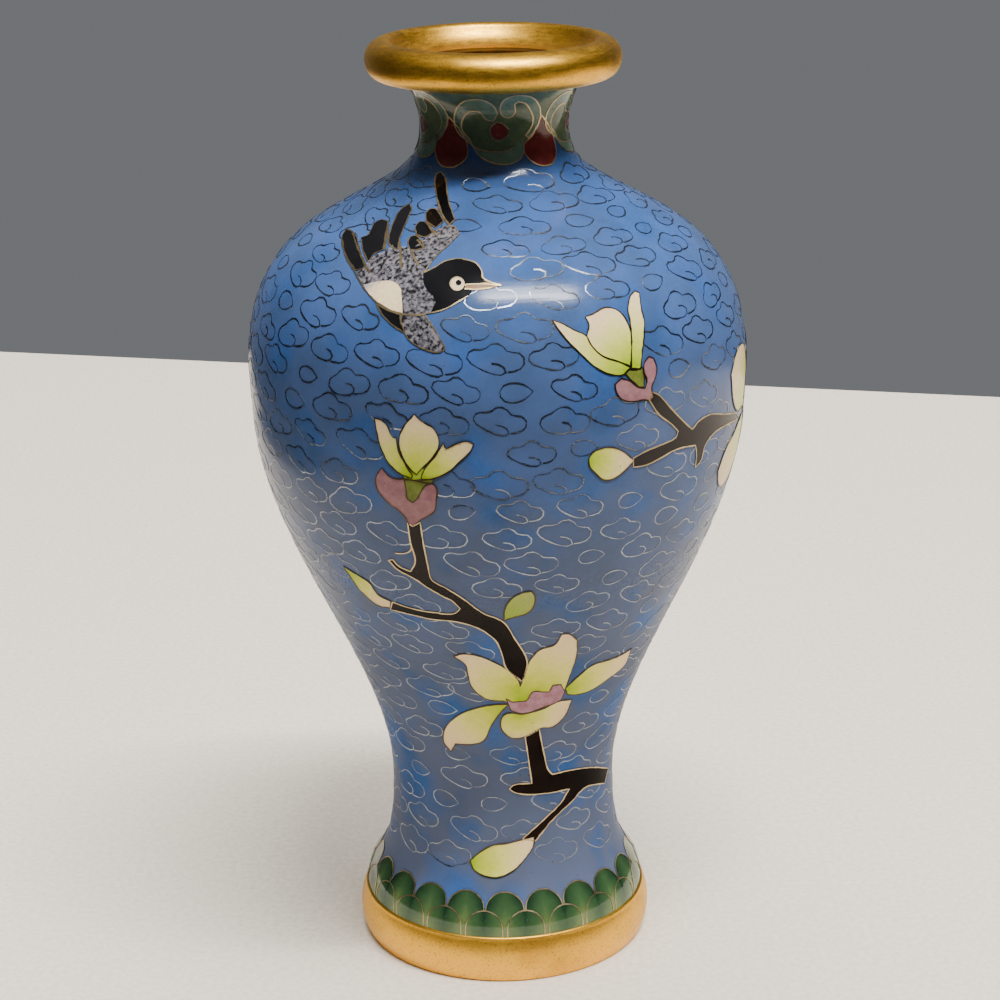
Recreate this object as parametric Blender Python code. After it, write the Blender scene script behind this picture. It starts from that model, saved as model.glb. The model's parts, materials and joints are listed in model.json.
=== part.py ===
"""Miniature cloisonne vase: an enamelled copper body, a gilt mouth rim and a gilt foot ring.

The three pieces are turned about the Z axis. The vase stands on z = 0, at the centre of its
foot ring, and every length below is in metres.
"""

import math

import bmesh
import bpy

MM = 0.001

# Heights, one above the other, from the surface that the vase stands on to the rim's crest
FOOT_RING_HEIGHT = 5.0 * MM
FLARE_HEIGHT = 13.4 * MM
BELLY_HEIGHT = 44.0 * MM
DOME_HEIGHT = 18.8 * MM
HOLLOW_HEIGHT = 9.4 * MM
LIP_HEIGHT = 4.9 * MM
RIM_HEIGHT = 3.9 * MM
JOINT_GAP = 0.3 * MM

# Radii of the body's outer side, from the foot up
FLARE_RADIUS = 15.5 * MM
WAIST_RADIUS = 12.3 * MM
SHOULDER_RADIUS = 26.2 * MM
NECK_RADIUS = 7.65 * MM
LIP_RADIUS = 9.1 * MM

# Slopes of the body's outer side, below the level
DOME_SLOPE = math.radians(31.0)
LIP_SLOPE = math.radians(52.0)

# Where the dome meets the hollow under the neck, as a share of the way out to the shoulder
DOME_SHARE = 0.585

# How far each curve runs straight on from its end, as a share of the curve's height
FLARE_EASE = (0.32, 0.87)
BELLY_EASE = (0.32, 0.35)
DOME_EASE = (0.15, 0.59)
HOLLOW_EASE = (0.85, 0.46)
LIP_EASE = (0.34, 0.34)

# Walls of the body
WALL = 1.6 * MM
BASE_THICKNESS = 1.8 * MM
BASE_INTO_RING = 2.0 * MM
BASE_CORNER = 0.8 * MM

# Foot ring: a band that stands proud of the flare and bulges a little
FOOT_RING_PROUD = 0.3 * MM
FOOT_RING_BULGE = 0.55 * MM
FOOT_RING_WALL = 1.6 * MM
FOOT_RING_EDGE = 0.25 * MM

# Mouth rim: a rolled bead that overhangs the lip, with a dish inside
RIM_OVERHANG = 4.1 * MM
RIM_ROLL_OUT = 2.0 * MM
RIM_ROLL_UNDER = 1.5 * MM
RIM_CREST_ROUND = 0.8 * MM
RIM_BORE_STEP = 0.25 * MM
RIM_BORE_HEIGHT = 1.6 * MM
DISH_WALL_ANGLE = math.radians(240.0)

# Fineness of the turned shapes
TURN_STEPS = 48
FLARE_STEPS = 7
BELLY_STEPS = 8
DOME_STEPS = 7
HOLLOW_STEPS = 7
LIP_STEPS = 4
RING_SIDE_STEPS = 6
RIM_ROLL_STEPS = 5
DISH_STEPS = 5
EDGE_STEPS = 2
CORNER_STEPS = 3
INSIDE_STRIDE = 2
MERGE_DISTANCE = 0.001 * MM
SMOOTH_ANGLE = math.radians(40.0)

# Directions in a profile, from +radius towards +height
UP = math.radians(90.0)
DOWN = math.radians(-90.0)
INWARD = math.radians(180.0)

# Colours of the finishes, as linear red, green, blue and alpha
ENAMEL_BLUE = (0.055, 0.18, 0.50, 1.0)
GILT = (0.72, 0.44, 0.14, 1.0)


def clear_scene():
    """Remove every object of the open file."""
    for thing in list(bpy.data.objects):
        bpy.data.objects.remove(thing)


def finish(name, colour, metallic, roughness):
    """A Principled material."""
    material = bpy.data.materials.new(name)
    material.use_nodes = True
    shader = material.node_tree.nodes["Principled BSDF"]
    shader.inputs["Base Color"].default_value = colour
    shader.inputs["Metallic"].default_value = metallic
    shader.inputs["Roughness"].default_value = roughness
    material.diffuse_color = colour
    return material


def moved(point, length, direction):
    """The point that lies so far from another in a direction of the profile."""
    radius = point[0] + length * math.cos(direction)
    height = point[1] + length * math.sin(direction)
    return (radius, height)


def curve(start, leave, end, arrive, ease, steps):
    """Points of a smooth curve, without its first one.

    It leaves its start and reaches its end in two given directions. The ease says for how long,
    as shares of the height between the two.
    """
    rise = abs(end[1] - start[1])
    corners = (
        start,
        moved(start, ease[0] * rise, leave),
        moved(end, -ease[1] * rise, arrive),
        end,
    )
    points = []
    for step in range(1, steps + 1):
        t = step / steps
        weights = ((1 - t) ** 3, 3 * (1 - t) ** 2 * t, 3 * (1 - t) * t * t, t**3)
        radius = sum(w * c[0] for w, c in zip(weights, corners))
        height = sum(w * c[1] for w, c in zip(weights, corners))
        points.append((radius, height))
    return points


def arc(centre, radii, first, last, steps):
    """Points of an elliptic arc, both ends included; angles in degrees."""
    points = []
    for step in range(steps + 1):
        angle = math.radians(first + (last - first) * step / steps)
        radius = centre[0] + radii[0] * math.cos(angle)
        height = centre[1] + radii[1] * math.sin(angle)
        points.append((radius, height))
    return points


def key_points():
    """The body's outer side at its foot, waist, shoulder, slope, neck and lip."""
    flare = (FLARE_RADIUS, FOOT_RING_HEIGHT + JOINT_GAP)
    waist = (WAIST_RADIUS, flare[1] + FLARE_HEIGHT)
    shoulder = (SHOULDER_RADIUS, waist[1] + BELLY_HEIGHT)
    slope_radius = NECK_RADIUS + DOME_SHARE * (SHOULDER_RADIUS - NECK_RADIUS)
    slope = (slope_radius, shoulder[1] + DOME_HEIGHT)
    neck = (NECK_RADIUS, slope[1] + HOLLOW_HEIGHT)
    lip = (LIP_RADIUS, neck[1] + LIP_HEIGHT)
    return flare, waist, shoulder, slope, neck, lip


def outer_side():
    """Points of the body's outer side, from the foot ring up to the rim."""
    flare, waist, shoulder, slope, neck, lip = key_points()
    up_the_dome = INWARD - DOME_SLOPE
    side = [flare]
    side += curve(flare, UP, waist, UP, FLARE_EASE, FLARE_STEPS)
    side += curve(waist, UP, shoulder, UP, BELLY_EASE, BELLY_STEPS)
    side += curve(shoulder, UP, slope, up_the_dome, DOME_EASE, DOME_STEPS)
    side += curve(slope, up_the_dome, neck, UP, HOLLOW_EASE, HOLLOW_STEPS)
    side += curve(neck, UP, lip, LIP_SLOPE, LIP_EASE, LIP_STEPS)
    return side


def inner_side(side, lowest):
    """The outer side's points moved in by the wall, from the mouth down to a lowest height."""
    inside = [(side[-1][0] - WALL, side[-1][1])]
    for place in range(len(side) - 1 - INSIDE_STRIDE, 0, -INSIDE_STRIDE):
        before = side[place - 1]
        after = side[place + 1]
        run = (after[0] - before[0], after[1] - before[1])
        length = math.hypot(*run)
        radius = side[place][0] - WALL * run[1] / length
        height = side[place][1] + WALL * run[0] / length
        if lowest < height < side[-1][1]:
            inside.append((radius, height))
    return inside


def ring_inner_radius():
    """Inner radius of the foot ring, which the body's base fits into."""
    return FLARE_RADIUS + FOOT_RING_PROUD - FOOT_RING_WALL


def body_profile():
    """Closed run of the body's wall: from the base's middle, up outside and down inside."""
    side = outer_side()
    base_radius = ring_inner_radius() - JOINT_GAP
    bottom = FOOT_RING_HEIGHT - BASE_INTO_RING
    floor = bottom + BASE_THICKNESS
    corner_centre = (base_radius - WALL - BASE_CORNER, floor + BASE_CORNER)
    profile = [(0.0, bottom), (base_radius, bottom), (base_radius, side[0][1])]
    profile += side
    profile += inner_side(side, floor + WALL)
    profile += arc(corner_centre, (BASE_CORNER, BASE_CORNER), 0, -90, CORNER_STEPS)
    profile.append((0.0, floor))
    return profile


def foot_profile():
    """Closed run of the foot ring: a band with rounded edges and a slightly bulging outside."""
    edge = FOOT_RING_EDGE
    inner = ring_inner_radius()
    outer = FLARE_RADIUS + FOOT_RING_PROUD
    middle = FOOT_RING_HEIGHT / 2
    side = []
    for step in range(RING_SIDE_STEPS + 1):
        share = 2 * step / RING_SIDE_STEPS - 1
        radius = outer + FOOT_RING_BULGE * (1 - share * share)
        side.append((radius, middle + share * (middle - edge)))
    low_edge = arc((outer - edge, edge), (edge, edge), -90, -30, EDGE_STEPS)
    top_edge = arc((outer - edge, FOOT_RING_HEIGHT - edge), (edge, edge), 30, 90, EDGE_STEPS)
    return [(inner, 0.0)] + low_edge + side + top_edge + [(inner, FOOT_RING_HEIGHT)]


def rim_profile():
    """Closed run of the mouth rim: a rolled bead outside and a dish down to the bore inside."""
    half = RIM_HEIGHT / 2
    bottom = key_points()[-1][1] + JOINT_GAP
    top = bottom + RIM_HEIGHT
    outer = LIP_RADIUS + RIM_OVERHANG
    bore = NECK_RADIUS - WALL + RIM_BORE_STEP
    under_centre = (outer - RIM_ROLL_UNDER, bottom + half)
    over_centre = (outer - RIM_ROLL_OUT, bottom + half)
    crest_centre = (over_centre[0], top - RIM_CREST_ROUND)
    under = arc(under_centre, (RIM_ROLL_UNDER, half), -90, 0, RIM_ROLL_STEPS)
    over = arc(over_centre, (RIM_ROLL_OUT, half), 0, 90, RIM_ROLL_STEPS)
    crest = arc(crest_centre, (RIM_CREST_ROUND, RIM_CREST_ROUND), 90, 150, EDGE_STEPS)
    dish_foot = (bore, bottom + RIM_BORE_HEIGHT)
    dish = curve(crest[-1], DISH_WALL_ANGLE, dish_foot, INWARD, (1.0, 1.0), DISH_STEPS)
    return [(bore, bottom)] + under + over[1:] + crest[1:] + dish


def turned(name, profile, material):
    """One closed piece: a profile, closed through the axis or round a ring, spun about Z."""
    mesh = bpy.data.meshes.new(name)
    work = bmesh.new()
    points = [work.verts.new((radius, 0.0, height)) for radius, height in profile]
    for first, second in zip(points, points[1:]):
        work.edges.new((first, second))
    if profile[0][0] > 0.0:
        work.edges.new((points[-1], points[0]))
    bmesh.ops.spin(
        work,
        geom=work.verts[:] + work.edges[:],
        cent=(0.0, 0.0, 0.0),
        axis=(0.0, 0.0, 1.0),
        angle=math.radians(360.0),
        steps=TURN_STEPS,
        use_duplicate=False,
    )
    bmesh.ops.remove_doubles(work, verts=work.verts[:], dist=MERGE_DISTANCE)
    bmesh.ops.recalc_face_normals(work, faces=work.faces[:])
    work.to_mesh(mesh)
    work.free()
    mesh.shade_smooth()
    mesh.set_sharp_from_angle(angle=SMOOTH_ANGLE)
    mesh.materials.append(material)
    piece = bpy.data.objects.new(name, mesh)
    bpy.context.scene.collection.objects.link(piece)
    return piece


def main():
    clear_scene()
    enamel = finish("vitreous enamel on copper", ENAMEL_BLUE, 0.0, 0.12)
    gilt = finish("gilded copper", GILT, 1.0, 0.38)
    turned("vase_body", body_profile(), enamel)
    turned("foot_ring", foot_profile(), gilt)
    turned("mouth_rim", rim_profile(), gilt)


main()
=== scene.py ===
"""Looks of the miniature cloisonne vase: enamel cells between flat gilt wires, and gilt rims.

The picture's outlines are drawn in pixels of the photograph. Each pixel is cast along its line of
sight on to the body, where it has a turn about the axis, 0 towards the camera and growing to the
right, and a run, the length along the body's side from the foot ring upwards.
"""

import json
import math
import random
from collections import namedtuple

import bmesh
import bpy
import numpy as np
from mathutils import Matrix, Vector
from mathutils.geometry import delaunay_2d_cdt

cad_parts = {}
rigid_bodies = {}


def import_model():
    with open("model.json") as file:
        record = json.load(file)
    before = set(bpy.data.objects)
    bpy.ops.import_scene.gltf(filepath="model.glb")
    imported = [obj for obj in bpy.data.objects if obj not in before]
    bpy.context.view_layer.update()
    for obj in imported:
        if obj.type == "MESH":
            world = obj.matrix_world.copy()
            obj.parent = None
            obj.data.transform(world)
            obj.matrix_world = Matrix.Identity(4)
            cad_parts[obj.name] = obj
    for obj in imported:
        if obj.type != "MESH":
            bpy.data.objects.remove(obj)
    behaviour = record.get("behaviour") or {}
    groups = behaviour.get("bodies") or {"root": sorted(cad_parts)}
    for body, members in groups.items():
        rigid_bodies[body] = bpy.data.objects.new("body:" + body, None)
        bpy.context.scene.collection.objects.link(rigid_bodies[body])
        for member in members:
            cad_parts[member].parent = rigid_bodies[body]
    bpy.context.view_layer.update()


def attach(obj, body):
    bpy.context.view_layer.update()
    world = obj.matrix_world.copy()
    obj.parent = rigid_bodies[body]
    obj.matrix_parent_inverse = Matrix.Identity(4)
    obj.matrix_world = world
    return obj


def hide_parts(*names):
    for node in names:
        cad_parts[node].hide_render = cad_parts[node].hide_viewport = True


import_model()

bl_info = {
    "name": "Miniature Cloisonne Vase",
    "version": (1, 0, 0),
    "blender": (4, 5, 0),
    "location": "View3D > Sidebar > Vase",
    "description": "Enamelled body, inlaid wires, gilt rims and a plain stage",
    "category": "Add Mesh",
}

MM = 0.001

# Heights, radii, slopes and eases of the body, as its solids have them
FOOT_RING_HEIGHT = 5.0 * MM
FLARE_HEIGHT = 13.4 * MM
BELLY_HEIGHT = 44.0 * MM
DOME_HEIGHT = 18.8 * MM
HOLLOW_HEIGHT = 9.4 * MM
LIP_HEIGHT = 4.9 * MM
RIM_HEIGHT = 3.9 * MM
JOINT_GAP = 0.3 * MM
FLARE_RADIUS = 15.5 * MM
WAIST_RADIUS = 12.3 * MM
SHOULDER_RADIUS = 26.2 * MM
NECK_RADIUS = 7.65 * MM
LIP_RADIUS = 9.1 * MM
DOME_SLOPE = math.radians(31.0)
LIP_SLOPE = math.radians(52.0)
DOME_SHARE = 0.585
FLARE_EASE = (0.32, 0.87)
BELLY_EASE = (0.32, 0.35)
DOME_EASE = (0.15, 0.59)
HOLLOW_EASE = (0.85, 0.46)
LIP_EASE = (0.34, 0.34)
WALL = 1.6 * MM
BASE_THICKNESS = 1.8 * MM
BASE_INTO_RING = 2.0 * MM
BASE_CORNER = 0.8 * MM

# The foot ring and the mouth rim, as their solids have them
FOOT_RING_PROUD = 0.3 * MM
FOOT_RING_BULGE = 0.55 * MM
FOOT_RING_WALL = 1.6 * MM
FOOT_RING_EDGE = 0.25 * MM
RIM_OVERHANG = 4.1 * MM
RIM_ROLL_OUT = 2.0 * MM
RIM_ROLL_UNDER = 1.5 * MM
RIM_CREST_ROUND = 0.8 * MM
RIM_BORE_STEP = 0.25 * MM
RIM_BORE_HEIGHT = 1.6 * MM
DISH_WALL_ANGLE = math.radians(240.0)
DISH_EASE = (1.0, 1.0)

# Where the arcs of the rim's crest and of the ring's edges end, in degrees
RIM_CREST_END = 150.0
RING_EDGE_END = 15.0

# Directions in a profile, from +radius towards +height
UP = math.radians(90.0)
INWARD = math.radians(180.0)

# The last spans of the dish, down in the bore, darkened with painted shade of the recess
BORE_SPANS = 6

# Fineness of the turned shapes
TURN_STEPS = 336
FLARE_STEPS = 28
BELLY_STEPS = 110
DOME_STEPS = 44
HOLLOW_STEPS = 26
LIP_STEPS = 12
INSIDE_STRIDE = 6
BASE_CORNER_STEPS = 6
RING_SIDE_STEPS = 16
RING_EDGE_STEPS = 4
ROLL_STEPS = 16
CREST_STEPS = 6
DISH_STEPS = 20
SHARP_ANGLE = math.radians(35.0)

# The camera, fitted to the rim's, the body's and the foot's outlines in the photograph: angles in
# radians, and the focal length and the centre in pixels
CAMERA_PLACE = Vector((0.0, -0.261691, 0.137045))
CAMERA_PITCH = 0.34209
CAMERA_ROLL = -0.01383
CAMERA_FOCUS = 2538.8
PICTURE_SIDE = 1000
PICTURE_CENTRE = (500.0, 555.41)
SENSOR = 36.0
NEAREST_SIGHT = 230 * MM
FARTHEST_SIGHT = 310 * MM
SIGHT_STEPS = 800

# The drawn shapes: LINE_STEP is in pixels, NEARLY_EVEN_STEP in lengths of a repeated pattern, and
# PLAIN_SHADE is the shade of a cell that has no root to shade from
LINE_STEP = 3.0
CORNER_TURN = math.radians(52.0)
PLATE_GRID = 0.8 * MM
PLATE_DEPTH = 0.06 * MM
LAYER_RISE = 0.006 * MM
NEARLY_EVEN_STEP = 0.01
PLAIN_SHADE = 0.5
NEARLY_NOTHING = 1e-9

Cell = namedtuple("Cell", "enamel outline root layer wired", defaults=(None, 0, True))
Wire = namedtuple("Wire", "line thick closed dull", defaults=(1.0, False, False))
Motif = namedtuple("Motif", "cells wires", defaults=((),))


def disc(x, y, radius):
    """Outline of a round spot, in pixels."""
    return [
        (x + radius * math.cos(math.radians(turn)), y + radius * math.sin(math.radians(turn)))
        for turn in range(0, 360, 45)
    ]


# The bird, with its wings up and its head to the right
BIRD = Motif(
    cells=(
        Cell("mottled", [
            (357, 272), (366, 265), (376, 259), (390, 250), (399, 247), (409, 248), (425, 273),
            (423.6, 281), (427, 290), (433, 296), (436, 302), (432, 312), (415, 314.5),
            (403, 312.6), (401.8, 296), (400.6, 287.4), (393, 281.4), (380, 281.4), (363.5, 285),
        ], layer=-1, wired=False),
        Cell("mottled", [
            (360, 272), (370, 260), (376, 255), (386, 251), (393, 245), (397, 250), (399, 266),
            (384, 266), (372, 271),
        ], layer=1, wired=False),
        Cell("mottled", [
            (423.6, 239), (432, 233), (443, 227), (449, 224.4), (456.4, 227), (458, 236.5),
            (449, 245), (440.6, 252), (432, 262), (424.8, 273), (408, 254.7), (412.7, 250),
        ], wired=False),
        Cell("black", [
            (424, 272), (427, 272), (436, 267), (444, 262), (456, 259), (467, 260), (477, 264),
            (482, 272), (483, 278), (489, 282), (501, 285.6), (491.5, 288), (473, 289),
            (468.5, 296), (461, 299.5), (454, 304.4), (443, 309), (431, 312.3), (436, 302),
            (433, 296), (427.3, 290), (423.6, 281.4),
        ], layer=1, wired=False),
        Cell("beak", [
            (465, 285), (480, 283.4), (489, 282), (501, 285.6), (491.5, 288.4), (478, 290),
            (465, 289.5),
        ], layer=2, wired=False),
        Cell("cream", [
            (364, 285), (380, 281.4), (393, 281.4), (400.6, 287.4), (401.8, 296), (403, 313),
            (389, 308.8), (376.5, 301), (368, 292),
        ], root=(389, 299), layer=1, wired=False),
        Cell("black", [
            (347, 229), (342.4, 238), (347, 256), (356, 270.5), (366, 268), (360.6, 250),
            (354.5, 233),
        ]),
        Cell("black", [
            (362, 238), (369, 235), (375, 224), (382.4, 220), (388.5, 222), (386, 236.5),
            (383.6, 250), (374, 254.7), (369, 263), (363, 248.6),
        ]),
        Cell("black", [
            (410, 204), (400.6, 211), (394.5, 222), (389.7, 244), (392, 247), (398, 250),
            (400.6, 237.7), (406.7, 223), (412.7, 208.6),
        ]),
        Cell("black", [
            (410.5, 250), (408.6, 241.5), (411.5, 236.8), (416.5, 236), (421, 240), (425, 247.5),
            (417.5, 250),
        ]),
        Cell("black", [
            (417, 234.6), (416, 227), (419.4, 222.2), (425, 222), (429.5, 226.4), (433, 233.4),
            (424.6, 237.4),
        ]),
        Cell("black", [
            (427, 221), (426.6, 214), (430, 209.6), (435.5, 209), (439.6, 213), (443.6, 222),
            (436, 228),
        ]),
        Cell("black", [
            (437, 175), (436, 189), (439.4, 205), (445.5, 221), (450, 225), (455, 219.5),
            (451.5, 210), (448, 195), (445.5, 177), (441, 172),
        ]),
        Cell("black", [
            (377, 304), (388.5, 310.5), (400.6, 314.7), (401.8, 323.8), (406, 333.5),
            (393, 325), (382.4, 314),
        ]),
        Cell("mottled", [
            (400.6, 314.5), (415, 315), (426, 315), (432, 325), (439.4, 337), (445.5, 348),
            (440.6, 352), (424.8, 349), (408, 338), (403, 326),
        ]),
        Cell("cream", disc(457.3, 283.8, 6.7), layer=2),
        Cell("black", disc(458.8, 282.8, 3.0), layer=3, wired=False),
    ),
    wires=(
        Wire([(353, 233), (360, 252), (370, 273)], 1.5),
        Wire([(389.7, 224), (387, 238), (385.5, 250)], 1.8),
        Wire([(400.6, 242.6), (401, 255), (401.8, 268)], 1.5),
        Wire([(411.5, 250), (415, 258), (419, 265.6)], 1.5),
        Wire([(417.6, 240), (421, 244), (424.8, 248.6)], 1.5),
        Wire([(429.7, 225.6), (434, 231), (438, 236.5)], 1.5),
        Wire([(438, 201), (442, 213), (449, 224.4)], 1.4),
        Wire([(343, 240), (346, 256), (356, 273), (366, 290), (376, 301), (388.5, 309),
              (400.6, 313.5), (415, 314.7), (431, 313), (445.5, 309), (456.4, 303),
              (468.5, 296)]),
        Wire([(424, 273), (436, 267), (444, 262), (456, 259), (467, 260), (477, 264),
              (482, 272), (483, 278), (489, 281.6), (501, 285.6)]),
        Wire([(446.7, 226), (455, 227), (459, 234), (449, 245), (440.6, 252), (432, 262),
              (425, 272)]),
        Wire([(464, 285), (480, 284), (501, 285.6)]),
        Wire([(464.8, 289), (478, 289.5), (491.5, 288)]),
    ),
)

# The flower on the left, its calyx and the branch that carries it
LEFT_FLOWER = Motif(
    cells=(
        Cell("petal", [
            (375, 418), (376.6, 428), (382.4, 450), (390.7, 464.7), (400, 473), (411.4, 478),
            (413, 475.5), (409.7, 470.5), (399.8, 453), (396.5, 438), (393.2, 437),
            (387.4, 425), (380.7, 419),
        ], root=(411, 477)),
        Cell("petal", [
            (443.7, 443), (446.2, 449), (457.8, 443), (467.8, 441), (473.6, 444), (471, 450),
            (459.5, 462), (448, 472), (434.6, 478), (423, 479.6), (421.4, 476.3), (425.5, 468),
            (434.6, 457), (440.4, 448),
        ], root=(424, 477)),
        Cell("petal", [
            (414.7, 414), (405.6, 424), (399.8, 436.5), (399.8, 446.5), (404.8, 459.7),
            (413, 471.3), (417.2, 474), (421.4, 468.8), (431.3, 459), (438.8, 446.5),
            (438.8, 438), (433, 427.4), (423, 421.6), (418, 417.4),
        ], root=(417, 476), layer=1),
        Cell("pink", [
            (382.4, 468), (377.4, 473.8), (376.2, 482), (380, 493), (389, 503), (400, 511),
            (406.4, 518), (409.8, 524.4), (414, 526), (419, 521), (429, 515.3), (434.6, 511),
            (436.3, 500.4), (437, 488), (433, 483.8), (423, 482), (406.4, 478.8), (393.2, 478),
            (388.2, 474.7),
        ]),
        Cell("olive", [
            (404.8, 479.6), (406.4, 488), (408, 498.7), (413, 502), (418, 498), (421.4, 491),
            (425.5, 485.4), (433, 482), (434.6, 478.8), (418, 479.6),
        ], layer=1),
        Cell("lime", [
            (404, 470), (417, 468), (431, 470), (432, 478), (426, 481), (417, 481.5), (405, 480),
        ], layer=-1, wired=False),
    ),
)

MAIN_BRANCH = Motif(
    cells=(
        Cell("bark", [
            (408, 522.7), (410.6, 541), (415.6, 562), (411, 571), (400, 566), (393, 559),
            (389, 560), (398, 569), (414.7, 578), (426, 585.7), (443, 595.7), (453, 600.7),
            (460.3, 608), (456, 612.3), (434.6, 612), (410, 607.3), (393, 601.5), (391, 609),
            (418, 615.6), (434.6, 619), (453, 620.6), (473, 625.5), (486, 632), (496, 640.5),
            (502.6, 655.4), (505.8, 667), (522.4, 681.3), (527, 661), (514, 637), (504, 622),
            (482.7, 612.3), (463, 598), (446, 587.4), (432, 579), (428, 564), (423.8, 542.6),
            (420.5, 522), (413, 526),
        ]),
        Cell("petal", [
            (344, 566), (360, 576), (370, 582.4), (378, 594), (391, 601), (391, 607.3),
            (380, 605.6), (368, 597), (360, 589),
        ], root=(350, 569)),
        Cell("leaf", [
            (504, 620), (504.6, 610), (511, 599), (521, 593), (531, 591), (534.6, 595),
            (533, 607), (527, 613), (515, 616.5),
        ], root=(504, 620)),
    ),
    wires=(Wire([(411, 543), (412, 548), (409, 551.5), (403, 553), (396, 552.6)]),),
)

# The flower on the right, its calyx and the branch that carries it
RIGHT_FLOWER = Motif(
    cells=(
        Cell("petal", [
            (552, 320), (556.4, 327), (568, 341.6), (580, 353.3), (594.5, 366.5), (609, 374),
            (624, 374), (630, 367), (618, 361.4), (603, 356.3), (591.6, 346), (585.7, 335.7),
            (574, 330), (561, 323),
        ], root=(626, 370)),
        Cell("petal", [
            (585, 316.7), (594.5, 313), (603, 308), (613.6, 308.6), (622.4, 315),
            (629.7, 330), (631, 346), (630, 366), (618, 361.4), (603, 356.3), (591.6, 346),
            (586.5, 335.7), (588.7, 325.5),
        ], root=(628, 364)),
        Cell("petal", [
            (634, 291), (629.7, 296), (627.5, 309), (629.7, 322.5), (631, 338.7),
            (631, 353), (631, 368), (640, 369), (641.5, 353.3), (643, 338.7), (643.7, 322.5),
            (640.7, 309), (638.5, 293),
        ], root=(634, 366), layer=1),
        Cell("olive", [
            (624.2, 373.3), (631.2, 380.3), (638.2, 387.3), (643, 386.6), (643.8, 378),
            (641.7, 367), (635.4, 369.8), (627, 369.8),
        ], layer=1),
        Cell("pink", [
            (614.4, 384), (620.7, 378), (629.8, 381), (638.2, 387), (644.5, 388), (646.5, 381),
            (643.4, 371), (643.8, 363), (648, 356.5), (653, 358), (656, 367), (654.4, 378),
            (650.8, 388), (653, 396.5), (649.5, 401), (643.8, 399.6), (632.6, 401.4),
            (621.4, 399.3), (616, 392.2),
        ]),
    ),
)

RIGHT_BRANCH = Motif(
    cells=(
        Cell("bark", [
            (648, 399), (659, 415), (671, 424), (677.4, 431), (675, 437), (662, 444),
            (647, 450), (632.7, 458), (632.7, 467), (644.4, 465), (657.6, 459),
            (676.7, 448.7), (694.3, 445), (695.8, 453), (694.3, 467), (700, 460.4),
            (704.6, 444.3), (713.4, 432.6), (725, 425), (738, 418), (735.4, 412.8),
            (723.6, 414), (710.4, 414), (700, 419.4), (691.4, 429), (685.5, 423.8),
            (671, 409), (657.6, 394.4), (652, 392),
        ]),
        Cell("petal", [
            (588.7, 457.5), (594.5, 451), (609, 447), (619.5, 449.4), (634, 460),
            (624, 470.7), (612, 478.8), (603, 479.5), (594.5, 472), (589.4, 466.3),
        ], root=(588, 462)),
    ),
)

# The open flower in the middle and the branch under it
OPEN_FLOWER = Motif(
    cells=(
        Cell("petal", [
            (454, 656), (461.4, 653.6), (478, 655.5), (496.6, 663), (511, 672), (519.6, 682),
            (521, 693), (519, 704), (504, 701), (485.5, 698), (472.5, 687), (468, 674),
            (466, 664.7),
        ], root=(522, 697), wired=False),
        Cell("petal", [
            (523.4, 678), (528, 663), (539, 650), (555.7, 643.4), (561.3, 634),
            (568.7, 633.3), (577, 639.7), (576, 655.5), (571.4, 670), (566, 684),
            (561, 694), (534, 702), (520, 703), (519.6, 690),
        ], root=(528, 698), wired=False),
        Cell("petal", [
            (565, 688), (578, 676), (592.7, 664.7), (611, 659), (624, 653), (631, 648.5),
            (624, 664.7), (609, 677.6), (592.7, 688.7), (578, 694), (567, 694),
        ], root=(564, 692)),
        Cell("petal", [
            (508, 704), (493, 704.5), (472.5, 709), (456, 716.5), (444.8, 729.4),
            (444, 740.5), (451.3, 751), (456, 743.3), (468.8, 744), (483.6, 740.5),
            (491, 725.7), (500, 712.8),
        ], root=(509, 706)),
        Cell("petal", [
            (504, 714.6), (501, 720), (502, 729.4), (513, 737.7), (528, 735), (541, 727.6),
            (552, 726.6), (565, 714.6), (571.4, 699), (559, 701), (541, 709),
            (522.4, 713.7), (509.5, 712.8),
        ], root=(520, 712)),
        Cell("stamen", [
            (506, 698), (512.6, 701.6), (519, 701), (526, 700.4), (531.7, 692), (536, 690.6),
            (541.3, 691.4), (549, 691.4), (552.8, 684.6), (560.4, 684), (564.3, 691),
            (560.4, 699), (541.3, 707.3), (522.2, 713), (511, 710),
        ], layer=2),
    ),
    wires=(
        Wire([(520, 686), (519, 681), (511, 672), (496.6, 663), (478, 655.5), (461.4, 653.6),
              (454, 656), (466, 664.7), (468, 674), (472.5, 687), (485.5, 698), (506, 701)],
             dull=True),
        Wire([(520, 686), (523.4, 678), (528, 663), (539, 650), (555.7, 643.4), (561.3, 634),
              (568.7, 633.3), (577, 639.7), (576, 655.5), (571.4, 670), (565, 688)], dull=True),
    ),
)

LOWER_BRANCH = Motif(
    cells=(
        Cell("bark", [
            (525, 736), (528, 757), (531.7, 783), (513, 785), (509.5, 788.6), (515, 792.3),
            (544.6, 793), (568.7, 788.6), (559.4, 803.4), (544.6, 818), (522.4, 838.5),
            (535.4, 840.3), (550, 821.8), (572.4, 799.7), (585.3, 786.7), (603.8, 783),
            (607.5, 768), (592.7, 767), (574, 769), (552, 773.8), (548.3, 770),
            (543.7, 753.4), (539, 729),
        ]),
        Cell("petal", [
            (533.5, 836.6), (522.4, 839), (507.6, 843), (493, 845), (480, 852), (470.7, 860),
            (473.4, 868), (481.8, 874.5), (496.6, 877.3), (511.3, 871.8), (524.3, 858.8),
            (533.5, 844),
        ], root=(471, 862)),
    ),
)

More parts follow.
